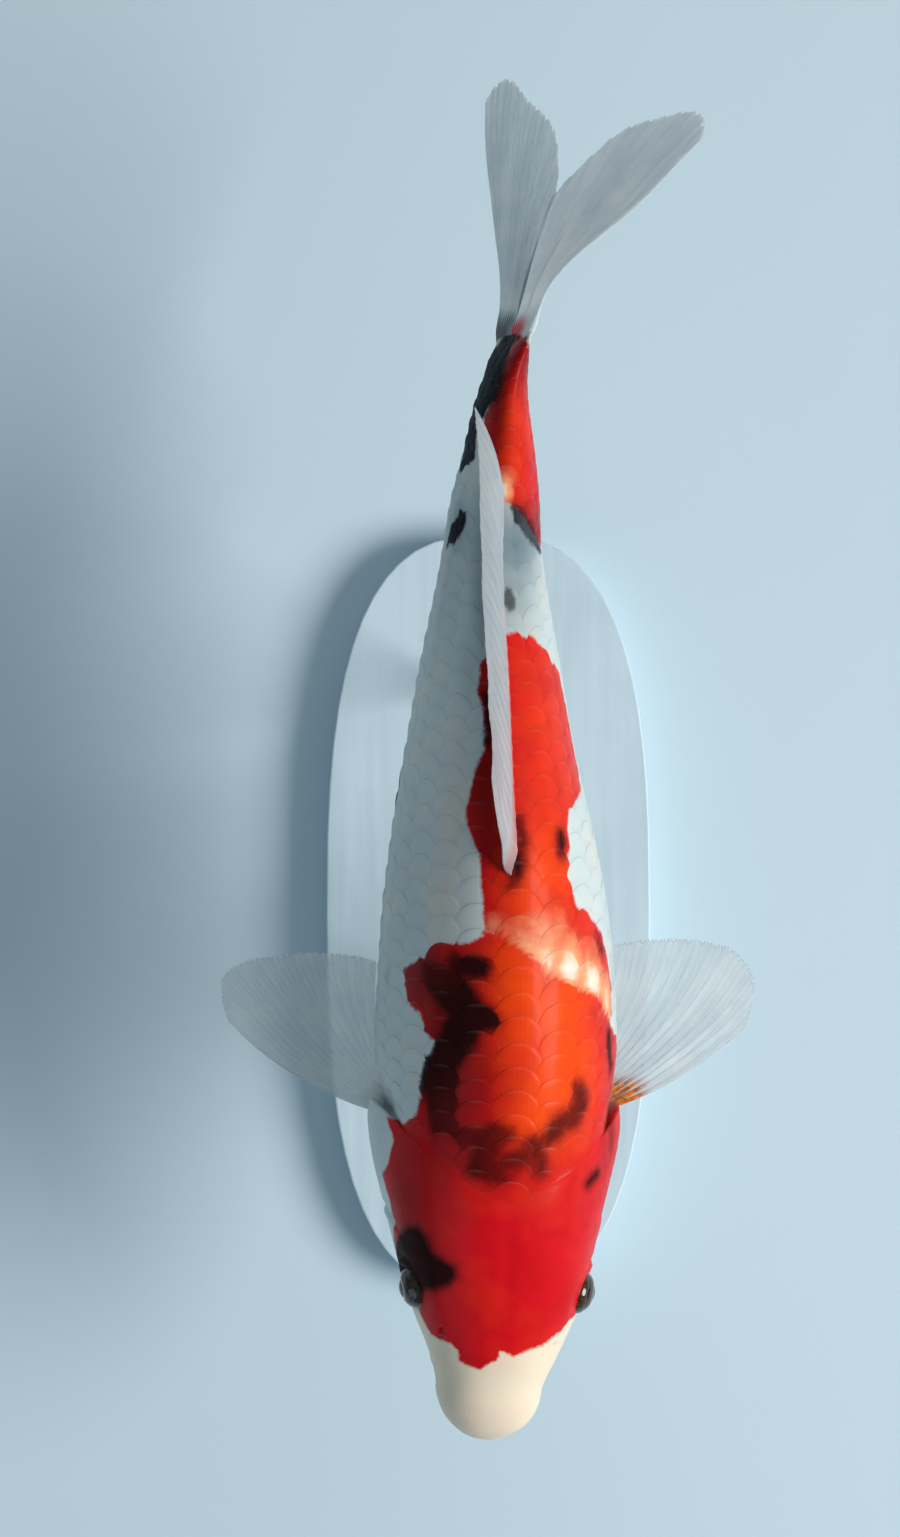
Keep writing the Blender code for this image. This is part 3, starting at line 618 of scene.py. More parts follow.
def skinMaterial(name, bumpScale, bumpStrength, scaled):
    made, shader = newMaterial(name, {
        "Coat Weight": 0.16, "Coat Roughness": 0.16, "Coat IOR": 1.33, "IOR": 1.27, "Specular IOR Level": 0.22,
        "Subsurface Weight": 0.04, "Subsurface Scale": 0.003, "Subsurface Radius": (1, 0.35, 0.2),
    })
    marks = addNode("ShaderNodeGroup", node_tree=markingNodes).outputs
    colour, black, height = marks["Colour"], marks["Black"], noise(bumpScale, 3)
    if scaled:
        # a light rim, a root darkened by painted shade where it tucks under the scale ahead, growth rings and a
        # fan of grooves on each scale
        reach, across = readValue("scaleReach"), readValue("scaleAcross")
        colour = shaded(1, colour, pigment["warmth"])
        colour = mixed(times(ramped(reach, 0.9, 1), 0.03), colour, pigment["rimLight"])
        colour = shaded(times(ramped(reach, 0.5, 0.66, 1, 0), 0.09), colour, pigment["rootShade"])
        colour = shaded(times(readValue("scaleTone"), 0.05), colour, pigment["scaleShade"])
        bowed = plus(reach, times(times(across, across), 0.28))
        rings, fan = calc("SINE", times(bowed, 160)), calc("SINE", times(across, 34))
        height = plus(height, plus(times(rings, 0.3), times(fan, 0.22)))
    rough = plus(patchy(180, 0.3, 0.7, 0.4, 0.54), times(black, 0.22))
    finish(shader, colour, rough, height, bumpStrength)
    link(ramped(black, 0, 1, 0.16, 0.03), shader["Coat Weight"])
    return made


smoothSkin = skinMaterial("wetSkin", 1400, 0.3, False)
scaleSkin = skinMaterial("wetScale", 1600, 0.16, True)

# The skin: one closed surface from the lips to the root of the tail fin
skinShape = {
    "around": 250, "noseRows": 56, "headRows": 144, "gillRows": 48, "bodyRows": 143,
    "widest": 0.3045, "keep": 0.12, "join": 0.45, "coatDepth": 0.55, "headDepth": 0.05,
    "rim": ((0.0006, 0.1), (0.0011, 0.45), (0.0009, 0.95), (0, 1.5), (-0.003, 2.7), (-0.0065, 4)),
    "mouth": ((-0.01, -0.012), (0.03, -0.0175), (0.062, -0.031), (0.105, -0.052)),
    "nape": ((0, 0.226), (15, 0.236), (32, 0.262), (50, 0.282), (66, 0.294), (90, 0.306), (180, 0.3)),
}
eye = {
    "station": 0.139, "height": 0.027, "side": 0.0725, "radius": 7.1, "flatten": 0.74, "tilt": 6, "forward": 10,
    "rings": 63, "around": 96,
}
# heights of the folds of the head in millimetres, negative where they cut in
folds = {
    "mouth": -1.7, "lips": 0.8, "upperLip": -0.5, "lowerLip": -0.45, "jaw": -0.4, "chin": -0.35,
    "nostrilAhead": -0.7, "nostrilBehind": -0.9, "flap": 0.45, "nostrilRim": 0.12,
    "eyeRim": 0.75, "eyeSocket": -1.3, "eyeCrease": -0.42, "cheek": -0.75, "cheekBone": 0.45,
    "plate": -0.5, "fan": 0.11, "brow": 0.45, "skull": -0.25, "pores": -0.11, "throat": 0.28,
}


def scaleStart(turn):
    degrees = np.degrees(np.abs(turn))
    nape = along(skinShape["nape"], np.minimum(degrees, 180))
    return np.where(degrees > 60, gillEdge(turn) + 0.002, nape)


def eyeCentre(sign):
    return placed(eye["station"], sign * eye["side"], eye["height"])


def eyeAxis(sign):
    forward = math.tan(math.radians(eye["forward"]))
    turned = Matrix.Rotation(math.radians(eye["tilt"]), 3, "Y") @ Vector((sign, -forward, 0.06))
    return np.array(turned.normalized())


def headRelief(station, turn, side, height, points):
    # millimetres that the folds of the head stand off the plain form, and the painted shade in each crevice
    x, z = station * perMm, height * perMm
    degrees = np.degrees(np.abs(turn))
    g = np.abs(girthAt(station, turn))
    # the mouth is an arch from the front, and its lips thin out to the corners
    out = np.minimum(np.abs(side) / 0.046, 1.1)
    arch = (0.0045 - 0.0135 * out**2.2) * faded(0.03, 0.07, station)
    line = (height - along(skinShape["mouth"], station) - arch) * perMm
    near = faded(0.046, 0.064, station)
    lips = faded(0.03, 0.056, station) * (1 - 0.35 * out**2)
    thinned = 1 - 0.5 * out**2
    relief = folds["mouth"] * bump(line, 0, 0.45) * near
    relief += folds["lips"] * lips * (bump(line, 1.9, 1.3) + bump(line, -2, 1.4))
    relief += folds["upperLip"] * bump(line, 5, 1) * faded(0.03, 0.05, station) * thinned
    relief += folds["lowerLip"] * bump(line, -5.2, 1.2) * faded(0.03, 0.055, station) * thinned
    # painted shade along the mouth line
    pit = bump(line, 0, 0.45) * near
    # crease behind the upper jaw bone, and the chin's crease
    jaw = np.hypot((station - 0.03) * perMm, z + 10) - 15.5
    relief += folds["jaw"] * bump(jaw, 0, 0.9) * between(degrees, 66, 86, 108, 126)
    chin = (station - 0.088 - 0.035 * eased(110, 175, degrees)) * perMm
    relief += folds["chin"] * bump(chin, 0, 0.9) * eased(118, 135, degrees)
    # two nostrils on each side, with a flap of skin between
    nostril = girthAt(0.1, math.radians(47))
    ahead, behind = np.hypot(x - 0.0955 * perMm, g - nostril), np.hypot(x - 0.1035 * perMm, g - nostril - 0.4)
    relief += folds["nostrilAhead"] * bump(ahead, 0, 0.7) + folds["nostrilBehind"] * bump(behind, 0, 0.9)
    relief += folds["flap"] * bump(x, 0.0993 * perMm, 0.55) * bump(g, nostril + 0.2, 1.5)
    relief += folds["nostrilRim"] * bump(np.hypot(x - 0.0995 * perMm, g - nostril), 2.8, 0.8)
    # painted shade in the nostrils
    pit = np.maximum(pit, 0.9 * bump(ahead, 0, 0.6) + 0.95 * bump(behind, 0, 0.8))
    # rims of the eyes
    for sign in (1, -1):
        off, axis = points - eyeCentre(sign), eyeAxis(sign)
        out = off @ axis
        ring = np.linalg.norm(off - out[..., None] * axis, axis=-1) * 1000
        beside = eased(0, 0.004, out)
        relief += beside * folds["eyeRim"] * bump(ring, 8.2, 0.95)
        relief += beside * folds["eyeCrease"] * bump(ring, 10.6, 0.9)
        relief += beside * folds["eyeSocket"] * faded(5.8, 7.5, ring)
        # painted shade in the groove round each eye
        pit = np.maximum(pit, 0.55 * beside * bump(ring, 6.9, 0.5))
    # cheek bone, gill cover plates and their fine fan of ridges
    cheek = np.hypot((station - 0.146) * perMm, z + 2) - 22.5
    span = between(degrees, 66, 84, 128, 142) * eased(0.15, 0.175, station)
    relief += span * (folds["cheek"] * bump(cheek, 0, 0.9) + folds["cheekBone"] * bump(cheek, -2.6, 1.7))
    plateLine = z + 17 + (x - 76) * 0.1
    span = between(station, 0.222, 0.232, 0.285, 0.3) * eased(70, 85, degrees)
    relief += folds["plate"] * bump(plateLine, 0, 0.8) * span
    angle = np.arctan2(z - 14, np.maximum(x - 70, 0.5))
    span = between(station, 0.225, 0.24, 0.29, 0.305)
    fanned = span * between(degrees, 70, 80, 105, 118)
    relief += folds["fan"] * np.sin(angle * 46) * fanned
    # brow over each eye, hollow down the middle of the skull
    relief += folds["brow"] * bump(degrees, 47, 9) * bump(station, 0.143, 0.03)
    relief += folds["skull"] * bump(g, 0, 2.2) * bump(station, 0.165, 0.05)
    # pores of the sense canals, in a line behind the eye and over the brow
    dots = np.maximum(np.cos(x * 2 * math.pi / 4.2), 0) ** 6
    canal = bump(degrees, 60, 1.4) * between(station, 0.17, 0.18, 0.265, 0.28)
    canal += bump(degrees, 33, 1.6) * between(station, 0.085, 0.1, 0.15, 0.17)
    relief += folds["pores"] * dots * canal
    # folds of the throat under the gill covers
    throat = eased(124, 134, degrees) * between(station, 0.11, 0.135, 0.205, 0.235)
    relief += folds["throat"] * np.sin((degrees - 124) * 0.38 - (station - 0.11) * 40) * throat
    return relief, np.clip(pit, 0, 1)


def makeSkin():
    widest, keep, join, tail = skinShape["widest"], skinShape["keep"], skinShape["join"], koi["wedge"][1]
    around = skinShape["around"]
    turn = ((np.arange(around) / around * 2 - 1) * math.pi)[None, :]
    edge, start = gillEdge(turn), scaleStart(turn)
    share = gillShare(flank(edge, turn)[1])

    def coatAt(station):
        # the skin lies deeper where the scales cover it
        covered = eased(-0.02, 0.004, station - start)
        return skinShape["headDepth"] + (skinShape["coatDepth"] - skinShape["headDepth"]) * covered

    nose = koi["snoutRounding"] * (1 - np.cos(np.radians(np.linspace(3, 86, skinShape["noseRows"]))))
    front = np.concatenate([nose, np.linspace(nose[-1] + 0.0012, widest, skinShape["headRows"])])[:, None]
    front = np.where(front < keep, front, keep + (front - keep) * (edge - keep) / (widest - keep))
    side, height = flank(front, turn, True)
    plain = placed(front, side, height)
    relief, pit = headRelief(front, turn, side, height, plain)
    coat = coatAt(front)
    rows = [plain + outward(front, turn, True) * ((relief - coat) / 1000)[..., None]]
    stations, creviceShades = [front], [pit]
    # the gill cover's rim turns in and forward to where the trunk's skin starts
    for k, (back, deep) in enumerate(skinShape["rim"]):
        at = edge + share * back + (1 - share) * 0.0004 * (k + 1)
        rows.append(lifted(at, turn, -share * deep - coat[-1:], True))
        stations.append(at)
        # painted shade deepens as the rim turns in under the gill cover
        creviceShades.append(share * min(1, 0.25 * k))
    back = np.linspace(join, tail, skinShape["bodyRows"])[1:]
    back = np.concatenate([np.linspace(widest, join, skinShape["gillRows"]), back])[:, None]
    begin = edge - share * gill["tuck"] + (1 - share) * 0.0032
    back = np.where(back < join, begin + (back - widest) * (join - begin) / (join - widest), back)
    rows.append(lifted(back, turn, -coatAt(back), False))
    stations.append(back)
    # painted shade on the trunk just behind the gill cover's edge
    creviceShades.append(0.9 * share * faded(-0.001, 0.006, back - edge))
    points, station = np.concatenate(rows), np.concatenate(stations)
    ends = placed(np.array([-0.0001, tail + 0.001]), 0, 0)
    marks = {**markings(station, turn), "pit": np.concatenate(creviceShades), "creamShare": creamShare(station, turn)}
    values = {key: np.concatenate([v.ravel(), v[0, :1], v[-1, :1]]) for key, v in marks.items()}
    replaced = ("head", "lower_jaw", "gill_cover_left", "gill_cover_right", "trunk", "tail_stem")
    points = np.concatenate([points.reshape(-1, 3), ends])
    makePiece("koiSkin", points, *tube(len(station), around), values, smoothSkin, "head_skin", replaced)


def creamShare(station, turn):
    # the snout, lips and underside are warmer than the white of the back
    under = eased(math.radians(100), math.radians(150), np.abs(turn))
    return np.clip(0.9 * faded(0.09, 0.16, station) + 0.35 * under, 0, 1)


makeSkin()

# Scales: thin plates in rows along the body, each lying back over the next
scaleRows = {
    "above": ((0.15, 6), (0.5, 6), (0.65, 5.6), (0.8, 4.7), (0.9, 4), (1, 3.6)),
    "pitch": ((0.2, 6.4), (0.3, 7), (0.45, 7.6), (0.6, 7.2), (0.8, 6.2), (1, 4.6)),
    "middle": 96, "reach": 2.05, "halfWidth": 0.74, "rise": 0.36, "tipLift": -0.06, "thick": 0.24,
    "droop": 0.24, "last": 0.998, "shown": 1.55, "end": 2, "ownShare": 0.18, "patch": 0.003,
    "rimFall": -0.3, "poreRise": 0.26, "mapReach": (0.49, 0.96),
    "across": np.sin(np.linspace(-1, 1, 13) * math.pi / 2),
    "lengths": np.array([0, 0.3, 0.48, 0.58, 0.68, 0.78, 0.87, 0.94, 0.985, 1]),
}


def scaleLattice():
    # (station, girth, pored) of each scale: rows either side of the sense line, staggered
    stations = [0.17]
    while stations[-1] < 1.02:
        stations.append(stations[-1] + float(along(scaleRows["pitch"], stations[-1])) / perMm / 2)
    stations = np.array(stations)
    found = {"Left": [], "Right": [], "Middle": []}
    for row in range(-9, 9):
        at = stations[(row % 2)::2]
        senseGirth = girthAt(at, math.radians(scaleRows["middle"]))
        spacing = senseGirth / along(scaleRows["above"], at)
        girth = senseGirth - row * spacing
        fits = (girth > 0.5 * spacing) & (girth < halfGirth(at) - 0.5 * spacing)
        for s, g in zip(at[fits], girth[fits]):
            found["Left"].append((s, g, float(row == 0)))
            found["Right"].append((s, -g, float(row == 0)))
    for s in stations[::2]:
        found["Middle"] += [(s, 0, 0), (s, float(halfGirth(s)) - 0.01, 0)]
    return found


def makeScales(name, roots):
    roots = np.array(roots)
    pitch = along(scaleRows["pitch"], roots[:, 0])
    shown = roots[:, 0] + scaleRows["shown"] * pitch / perMm
    kept = shown > scaleStart(turnAt(shown, roots[:, 1]))
    kept &= roots[:, 0] + scaleRows["end"] * pitch / perMm < scaleRows["last"]
    # each scale is a grid of rows to its tip and columns across it
    root, middle, pore, pitch, shown = np.column_stack([roots, pitch, shown])[kept].T[..., None, None]
    count, across, t = len(root), scaleRows["across"], scaleRows["lengths"][:, None]
    spacing = girthAt(root, math.radians(scaleRows["middle"])) / along(scaleRows["above"], root)
    number = np.arange(count)[:, None, None]
    tone = (np.sin(number * 12.9898 + 4.1) * 43758.5453) % 1.0
    jitter = (np.sin(number * 78.233 + 1.7) * 24634.6345) % 1.0 - 0.5
    long = scaleRows["reach"] * pitch * (1 + 0.05 * jitter)
    wide = scaleRows["halfWidth"] * spacing * (1 + 0.04 * jitter)
    share = t * (0.32 + 0.68 * np.sqrt(1 - across**2))
    station = root + long * share / perMm
    turn = turnAt(station, middle + wide * across * (0.8 + 0.2 * eased(0, 0.5, t)))
    lift = scaleRows["tipLift"] - scaleRows["rise"] * (1 - share) - scaleRows["droop"] * np.abs(across) ** 2.2
    lift = lift + 0.03 * (np.abs(middle) < 1) + (tone - 0.5) * 0.05
    lift = lift + scaleRows["rimFall"] * faded(-0.004, 0.018, station - scaleStart(turn))
    lift = lift + scaleRows["poreRise"] * pore * bump(across, 0, 0.11) * bump(share, 0.82, 0.13)
    edge = 0.1 * eased(0.93, 1, t) + 0.06 * eased(0.86, 1, np.abs(across))
    thick = scaleRows["thick"] * (1 - 0.45 * eased(0.5, 1, share))
    sheets = [lifted(station, turn, lift - under, False).reshape(count, -1, 3) for under in (edge, thick)]
    points = np.concatenate(sheets, axis=1)
    faces = (plate(*share.shape) + number * points.shape[1]).reshape(-1, 4)
    # a small patch of the unwrapped body for each scale, at its root
    aside = scaleRows["mapReach"][0] * np.clip(turnAt(root, middle) / math.pi, -1, 1)
    centre = np.stack([0.5 + aside, 0.02 + scaleRows["mapReach"][1] * np.clip(root, 0, 1)], axis=-1)
    patch = np.tile(places(*share.shape).reshape(-1, 2) - 0.5, (2, 1)) * scaleRows["patch"]
    corners = (centre + patch).reshape(-1, 2)[faces]
    # the whole scale takes some of the markings at the middle of what shows of it
    own, exact = markings(shown, turnAt(shown, middle)), markings(station, turn)
    values = {key: value + (own[key] - value) * scaleRows["ownShare"] for key, value in exact.items()}
    values["creamShare"] = creamShare(station, turn)
    # painted shade in the pore on each scale of the sense line
    values["pit"] = 0.8 * pore * bump(across, 0, 0.1) * bump(share, 0.9, 0.06)
    values.update({"scaleReach": share, "scaleAcross": across, "scaleTone": tone})
    for key, value in values.items():
        values[key] = np.tile(np.broadcast_to(value, station.shape).reshape(count, -1), (1, 2))
    makePiece(name, points.reshape(-1, 3), [faces], [corners], values, scaleSkin, "scaled_skin")


lattice = scaleLattice()
for part in lattice:
    makeScales("scales" + part, lattice[part])

# Fins: rays that branch towards the margin, with membrane between
upperTwist = (
    (-0.03, 0), (0, 0), (0.03, 0.005), (0.06, 0.105), (0.09, 0.214), (0.125, 0.289), (0.16, 0.304),
    (0.3, 0.324),
)
lowerTwist = (
    (-0.03, 0), (0, 0), (0.03, 0), (0.06, 0.046), (0.09, 0.109), (0.117, 0.154), (0.16, 0.224), (0.3, 0.324),
)


def dorsalRays(r, t):
    station = 0.512 + 0.306 * r
    sweep = np.radians(48 + 28 * r)
    length = along(((0, 0.112), (0.04, 0.124), (0.2, 0.092), (0.5, 0.072), (0.8, 0.072), (1, 0.106)), r)
    lean = along(((0, 0.0305), (0.2, 0.0275), (0.5, 0.024), (0.8, 0.0245), (1, 0.039)), r)
    lean = -lean * np.clip(t, 0, 1) ** (0.6 + 0.55 * eased(0, 0.3, r) + 0.85 * r**2)
    lean = lean - 0.0065 * faded(0, 0.07, r) * faded(0, 0.35, t)
    return station + length * t * np.sin(sweep), lean, along(koi["back"], station) + length * t * np.cos(sweep)


def analRays(r, t):
    station = 0.765 + 0.062 * r
    sweep = np.radians(52 + 18 * r)
    length = along(((0, 0.112), (0.15, 0.122), (0.5, 0.1), (1, 0.072)), r)
    height = -along(koi["belly"], station) - length * t * np.cos(sweep)
    return station + length * t * np.sin(sweep), 0.01 * np.clip(t, 0, 1) ** 2, height


def tailRays(spread, root, bendings, curl, reaches, twist, sign):
    def rays(r, t):
        # the inner margins reach just past the middle, so the two lobes meet with no slit
        outer = -0.018 + 1.018 * r
        fan = np.radians(spread) * np.sign(outer) * np.abs(outer) ** 0.8
        reach = along(reaches, r) * t
        behind = reach * np.cos(fan)
        height = sign * (root * outer + reach * np.sin(fan))
        bend = (bendings[0] + bendings[1] * outer) * behind**2
        bend = bend + curl * height**2 * eased(0.02, 0.12, behind)
        return 1 + behind, bend + height * along(twist, behind), height

    return rays


# The breast fins: the rays' angles behind straight out, their lengths and their bend
pectorals = {
    1: {
        "angle": ((0, 25.6), (0.1, 32), (0.25, 38.5), (0.4, 45.5), (0.6, 56), (0.8, 69.5), (1, 83.5)),
        "length": ((0, 0.184), (0.1, 0.21), (0.25, 0.215), (0.4, 0.202), (0.6, 0.176), (0.8, 0.15), (1, 0.127)),
        "curve": 12,
    },
    -1: {
        "angle": ((0, 30), (0.1, 34.5), (0.25, 39.5), (0.4, 45.5), (0.6, 54.5), (0.8, 66.5), (1, 80)),
        "length": (
            (0, 0.172), (0.1, 0.188), (0.25, 0.201), (0.4, 0.199), (0.6, 0.179), (0.8, 0.156), (1, 0.132),
        ),
        "curve": 19,
    },
}


def pectoralRays(sign):
    shape = pectorals[sign]

    def rays(r, t):
        angle = np.radians(along(shape["angle"], r) - shape["curve"] * (1 - np.clip(t, 0, 1)))
        reach = t * along(shape["length"], r)
        drop = 0.06 * reach + 1.1 * np.clip(reach, 0, 1) ** 2 * (1 - 0.5 * r)
        side = sign * (0.087 - 0.014 * r + reach * np.cos(angle))
        return 0.285 + 0.014 * r + reach * np.sin(angle), side, -0.058 - 0.03 * r - drop

    return rays


def pelvicRays(sign):
    def rays(r, t):
        angle = np.radians(62 + 24 * r)
        reach = along(((0, 0.12), (0.25, 0.13), (0.7, 0.112), (1, 0.09)), r) * t
        side = sign * (0.042 - 0.02 * r + 0.25 * reach * np.cos(angle))
        return 0.492 + 0.014 * r + reach * np.sin(angle), side, -0.122 - 0.007 * r - reach * (0.4 - 0.18 * r)

    return rays


upperReach = ((0, 0.122), (0.15, 0.157), (0.35, 0.189), (0.6, 0.21), (0.85, 0.217), (1, 0.2))
lowerReach = ((0, 0.122), (0.1, 0.156), (0.2, 0.179), (0.35, 0.202), (0.6, 0.232), (0.85, 0.266), (1, 0.252))
finShape = {"perRay": 14, "rows": 52, "buried": 0.08, "scallop": 0.014, "taper": 0.62}
tailFin = {"rays": 10, "firstBranch": 0.22, "thick": 0.9, "root": 1.2, "lead": 0.6, "ripple": 0.4}
paired = {"thick": 0.8, "lead": 0.8}
pectoralFin = {**paired, "rays": 16, "firstBranch": 0.3, "root": 2.6, "ripple": 0.16, "opacity": 0.5}
pelvicFin = {**paired, "rays": 9, "firstBranch": 0.35, "root": 1.8, "ripple": 0.3, "opacity": 0.6, "tone": 0.9}
# a fin's tone below 1 is painted shade, dimming the fins that lie under the body, on the fish's right, and
# leaning away from the key lamp
fins = {
    "dorsalFin": {
        "node": "dorsal_fin", "place": dorsalRays, "tone": 0.45, "rays": 21, "firstBranch": 0.35,
        "thick": 0.7, "root": 0.3, "lead": 0.5, "opacity": 0.78, "ripple": 0.12,
    },
    "analFin": {
        "node": "anal_fin", "place": analRays, "tone": 0.8, "rays": 8, "firstBranch": 0.35,
        "thick": 0.9, "root": 1.2, "lead": 0.8, "opacity": 0.8, "ripple": 0.25,
    },
    "tailFinUpper": {
        **tailFin, "node": "tail_fin_upper", "tone": 1, "opacity": 0.78,
        "place": tailRays(25, 0.057, (0.75, 0.2), 0.9, upperReach, upperTwist, 1),
    },
    "tailFinLower": {
        **tailFin, "node": "tail_fin_lower", "tone": 0.45, "opacity": 0.66,
        "place": tailRays(28, 0.053, (0.75, -0.25), 0, lowerReach, lowerTwist, -1),
    },
    "pectoralFinLeft": {**pectoralFin, "node": "pectoral_fin_left", "place": pectoralRays(1), "tone": 1},
    "pectoralFinRight": {**pectoralFin, "node": "pectoral_fin_right", "place": pectoralRays(-1), "tone": 0.8},
    "pelvicFinLeft": {**pelvicFin, "node": "pelvic_fin_left", "place": pelvicRays(1)},
    "pelvicFinRight": {**pelvicFin, "node": "pelvic_fin_right", "place": pelvicRays(-1)},
}


def branches(phase, t, firstBranch):
    # how far each point is on a ray: one stem that splits in two, and again near the margin
    inRay = phase - np.floor(phase) - 0.5
    split = 0.23 * eased(firstBranch, 1, t)
    again = 0.105 * eased(firstBranch + 0.35, 1.05, t)
    width = 0.145 - 0.075 * np.clip(t, 0, 1)
    forks = (split + again, split - again, again - split, -split - again)
    return np.max([bump(inRay, fork, width) for fork in forks], axis=0)


tissue = {
    "cool": (0.52, 0.58, 0.61, 1), "pale": (0.64, 0.67, 0.66, 1), "ray": (0.7, 0.71, 0.68, 1),
    "paintedShade": (0.42, 0.5, 0.54, 1), "red": (0.66, 0.02, 0.012, 1), "orange": (0.62, 0.14, 0.012, 1),
    "brown": (0.3, 0.05, 0.008, 1), "inkAndShade": (0.05, 0.035, 0.04, 1),
}


def finMaterial():
    made, shader = newMaterial("finTissue", {
        "Coat Weight": 0.15, "Coat Roughness": 0.2, "IOR": 1.3,
        "Subsurface Weight": 0.75, "Subsurface Scale": 0.003, "Subsurface Radius": (1, 0.95, 0.9),
    })
    ray, t, inkAndShade, orange = (readValue(name) for name in ("ray", "finReach", "finInkAndShade", "orangeTint"))
    colour = mixed(patchy(70, 0.35, 0.7), tissue["cool"], tissue["pale"])
    colour = mixed(times(ray, 0.35), colour, tissue["ray"])
    # painted shade: each fin is dimmed by its tone
    colour = mixed(readValue("finPaintedShadeTone"), shaded(1, colour, tissue["paintedShade"]), colour)
    colour = mixed(readValue("rootTint"), colour, tissue["red"])
    tawny = mixed(patchy(420, 0.42, 0.58), tissue["orange"], tissue["brown"])
    colour = mixed(orange, colour, tawny)
    broken = patchy(60, 0.35, 0.65, 0.5, 1, 2)
    # the dark ink, with painted shade in the tail's streaks
    colour = mixed(times(inkAndShade, broken), colour, tissue["inkAndShade"])
    # clearer to the margin, denser over the rays, the root and the marks
    opacity = times(readValue("opacity"), ramped(t, 0.25, 1, 1.12, 0.8))
    opacity = plus(plus(opacity, times(ray, 0.06)), ramped(t, 0, 0.22, 0.5, 0))
    opacity = plus(opacity, times(calc("MAXIMUM", inkAndShade, orange), 0.5), clamp=True)
    link(opacity, shader["Alpha"])
    joints = times(calc("SINE", times(t, 420)), ray)
    height = plus(noise(700, 3), times(joints, 0.4))
    finish(shader, colour, patchy(300, 0.3, 0.7, 0.3, 0.46, 2), height, 0.25)
    return made


finTissue = finMaterial()


def makeFin(name):
    fin = fins[name]
    count, place, firstBranch = fin["rays"], fin["place"], fin["firstBranch"]
    r = np.linspace(0, 1, count * finShape["perRay"] + 1)[None, :]
    t = np.linspace(-finShape["buried"], 0, 5)[:-1]
    t = np.concatenate([t, np.linspace(0, 1, finShape["rows"])])[:, None]
    phase = r * (count - 0.02) + 0.01
    ray = branches(phase, t, firstBranch)
    hollow = (1 - branches(phase, np.ones((1, 1)), firstBranch)) * eased(0.9, 1, t)
    reach = t * (1 - finShape["scallop"] * hollow)
    inFin, nearby = np.clip(reach, 0, 1), 1e-3
    before, after = np.clip(r - nearby, 0, 1), np.clip(r + nearby, 0, 1)
    alongRay = placed(*place(r, reach + nearby)) - placed(*place(r, reach - nearby))
    normal = unit(np.cross(alongRay, placed(*place(after, reach)) - placed(*place(before, reach))))
    ripple = fin["ripple"] * eased(0.02, 0.35, reach) * (1 - 0.5 * bump(r, 0, 0.03))
    ripple = ripple * (np.sin(phase * math.pi * 2) * 0.5 + np.sin(phase * 1.7 + reach * 5))
    thick = fin["thick"] * (0.55 + 0.45 * ray) * (1 - finShape["taper"] * inFin**1.2)
    thick = thick + fin["lead"] * bump(r, 0, 0.35 / count) * (1 - 0.75 * inFin)
    thick = thick + fin["root"] * faded(0, 0.11, reach)
    # the edges are rounded off
    rounded = np.sqrt(np.clip((1 - t) / 0.02, 0.04, 1))
    rim = np.sqrt(np.clip(np.minimum(r, 1 - r) * count / 0.1, 0.03, 1))
    half = (thick * rounded * rim / 2000)[..., None]
    middle = placed(*place(r, reach)) + normal * (ripple / 1000)[..., None]
    points = np.concatenate([(middle + normal * half).reshape(-1, 3), (middle - normal * half).reshape(-1, 3)])
    faces, each = plate(*ray.shape)[:, ::-1], ray.size
    corners = places(*ray.shape).reshape(-1, 2)[faces % each] * (0.48, 0.96) + (0.01, 0.02)
    corners[(faces >= each).all(axis=1), :, 0] += 0.5
    # the two faces of the sheet take the colours of the sides of the fish that they look to
    first = 1 if normal[..., 0].mean() > 0 else -1
    faced = [finColours(name, r, reach, phase, side) for side in (first, -first)]
    pairs = {"ray": (ray, ray), "finReach": (reach, reach)}
    pairs.update({"opacity": (fin["opacity"],) * 2, "finPaintedShadeTone": (fin["tone"],) * 2})
    pairs.update(zip(("rootTint", "orangeTint", "finInkAndShade"), zip(*faced)))
    values = {}
    for key, pair in pairs.items():
        values[key] = np.concatenate([np.broadcast_to(v, ray.shape).ravel() for v in pair])
    makePiece(name, points, [faces], [corners], values, finTissue, "fin", (fin["node"],))


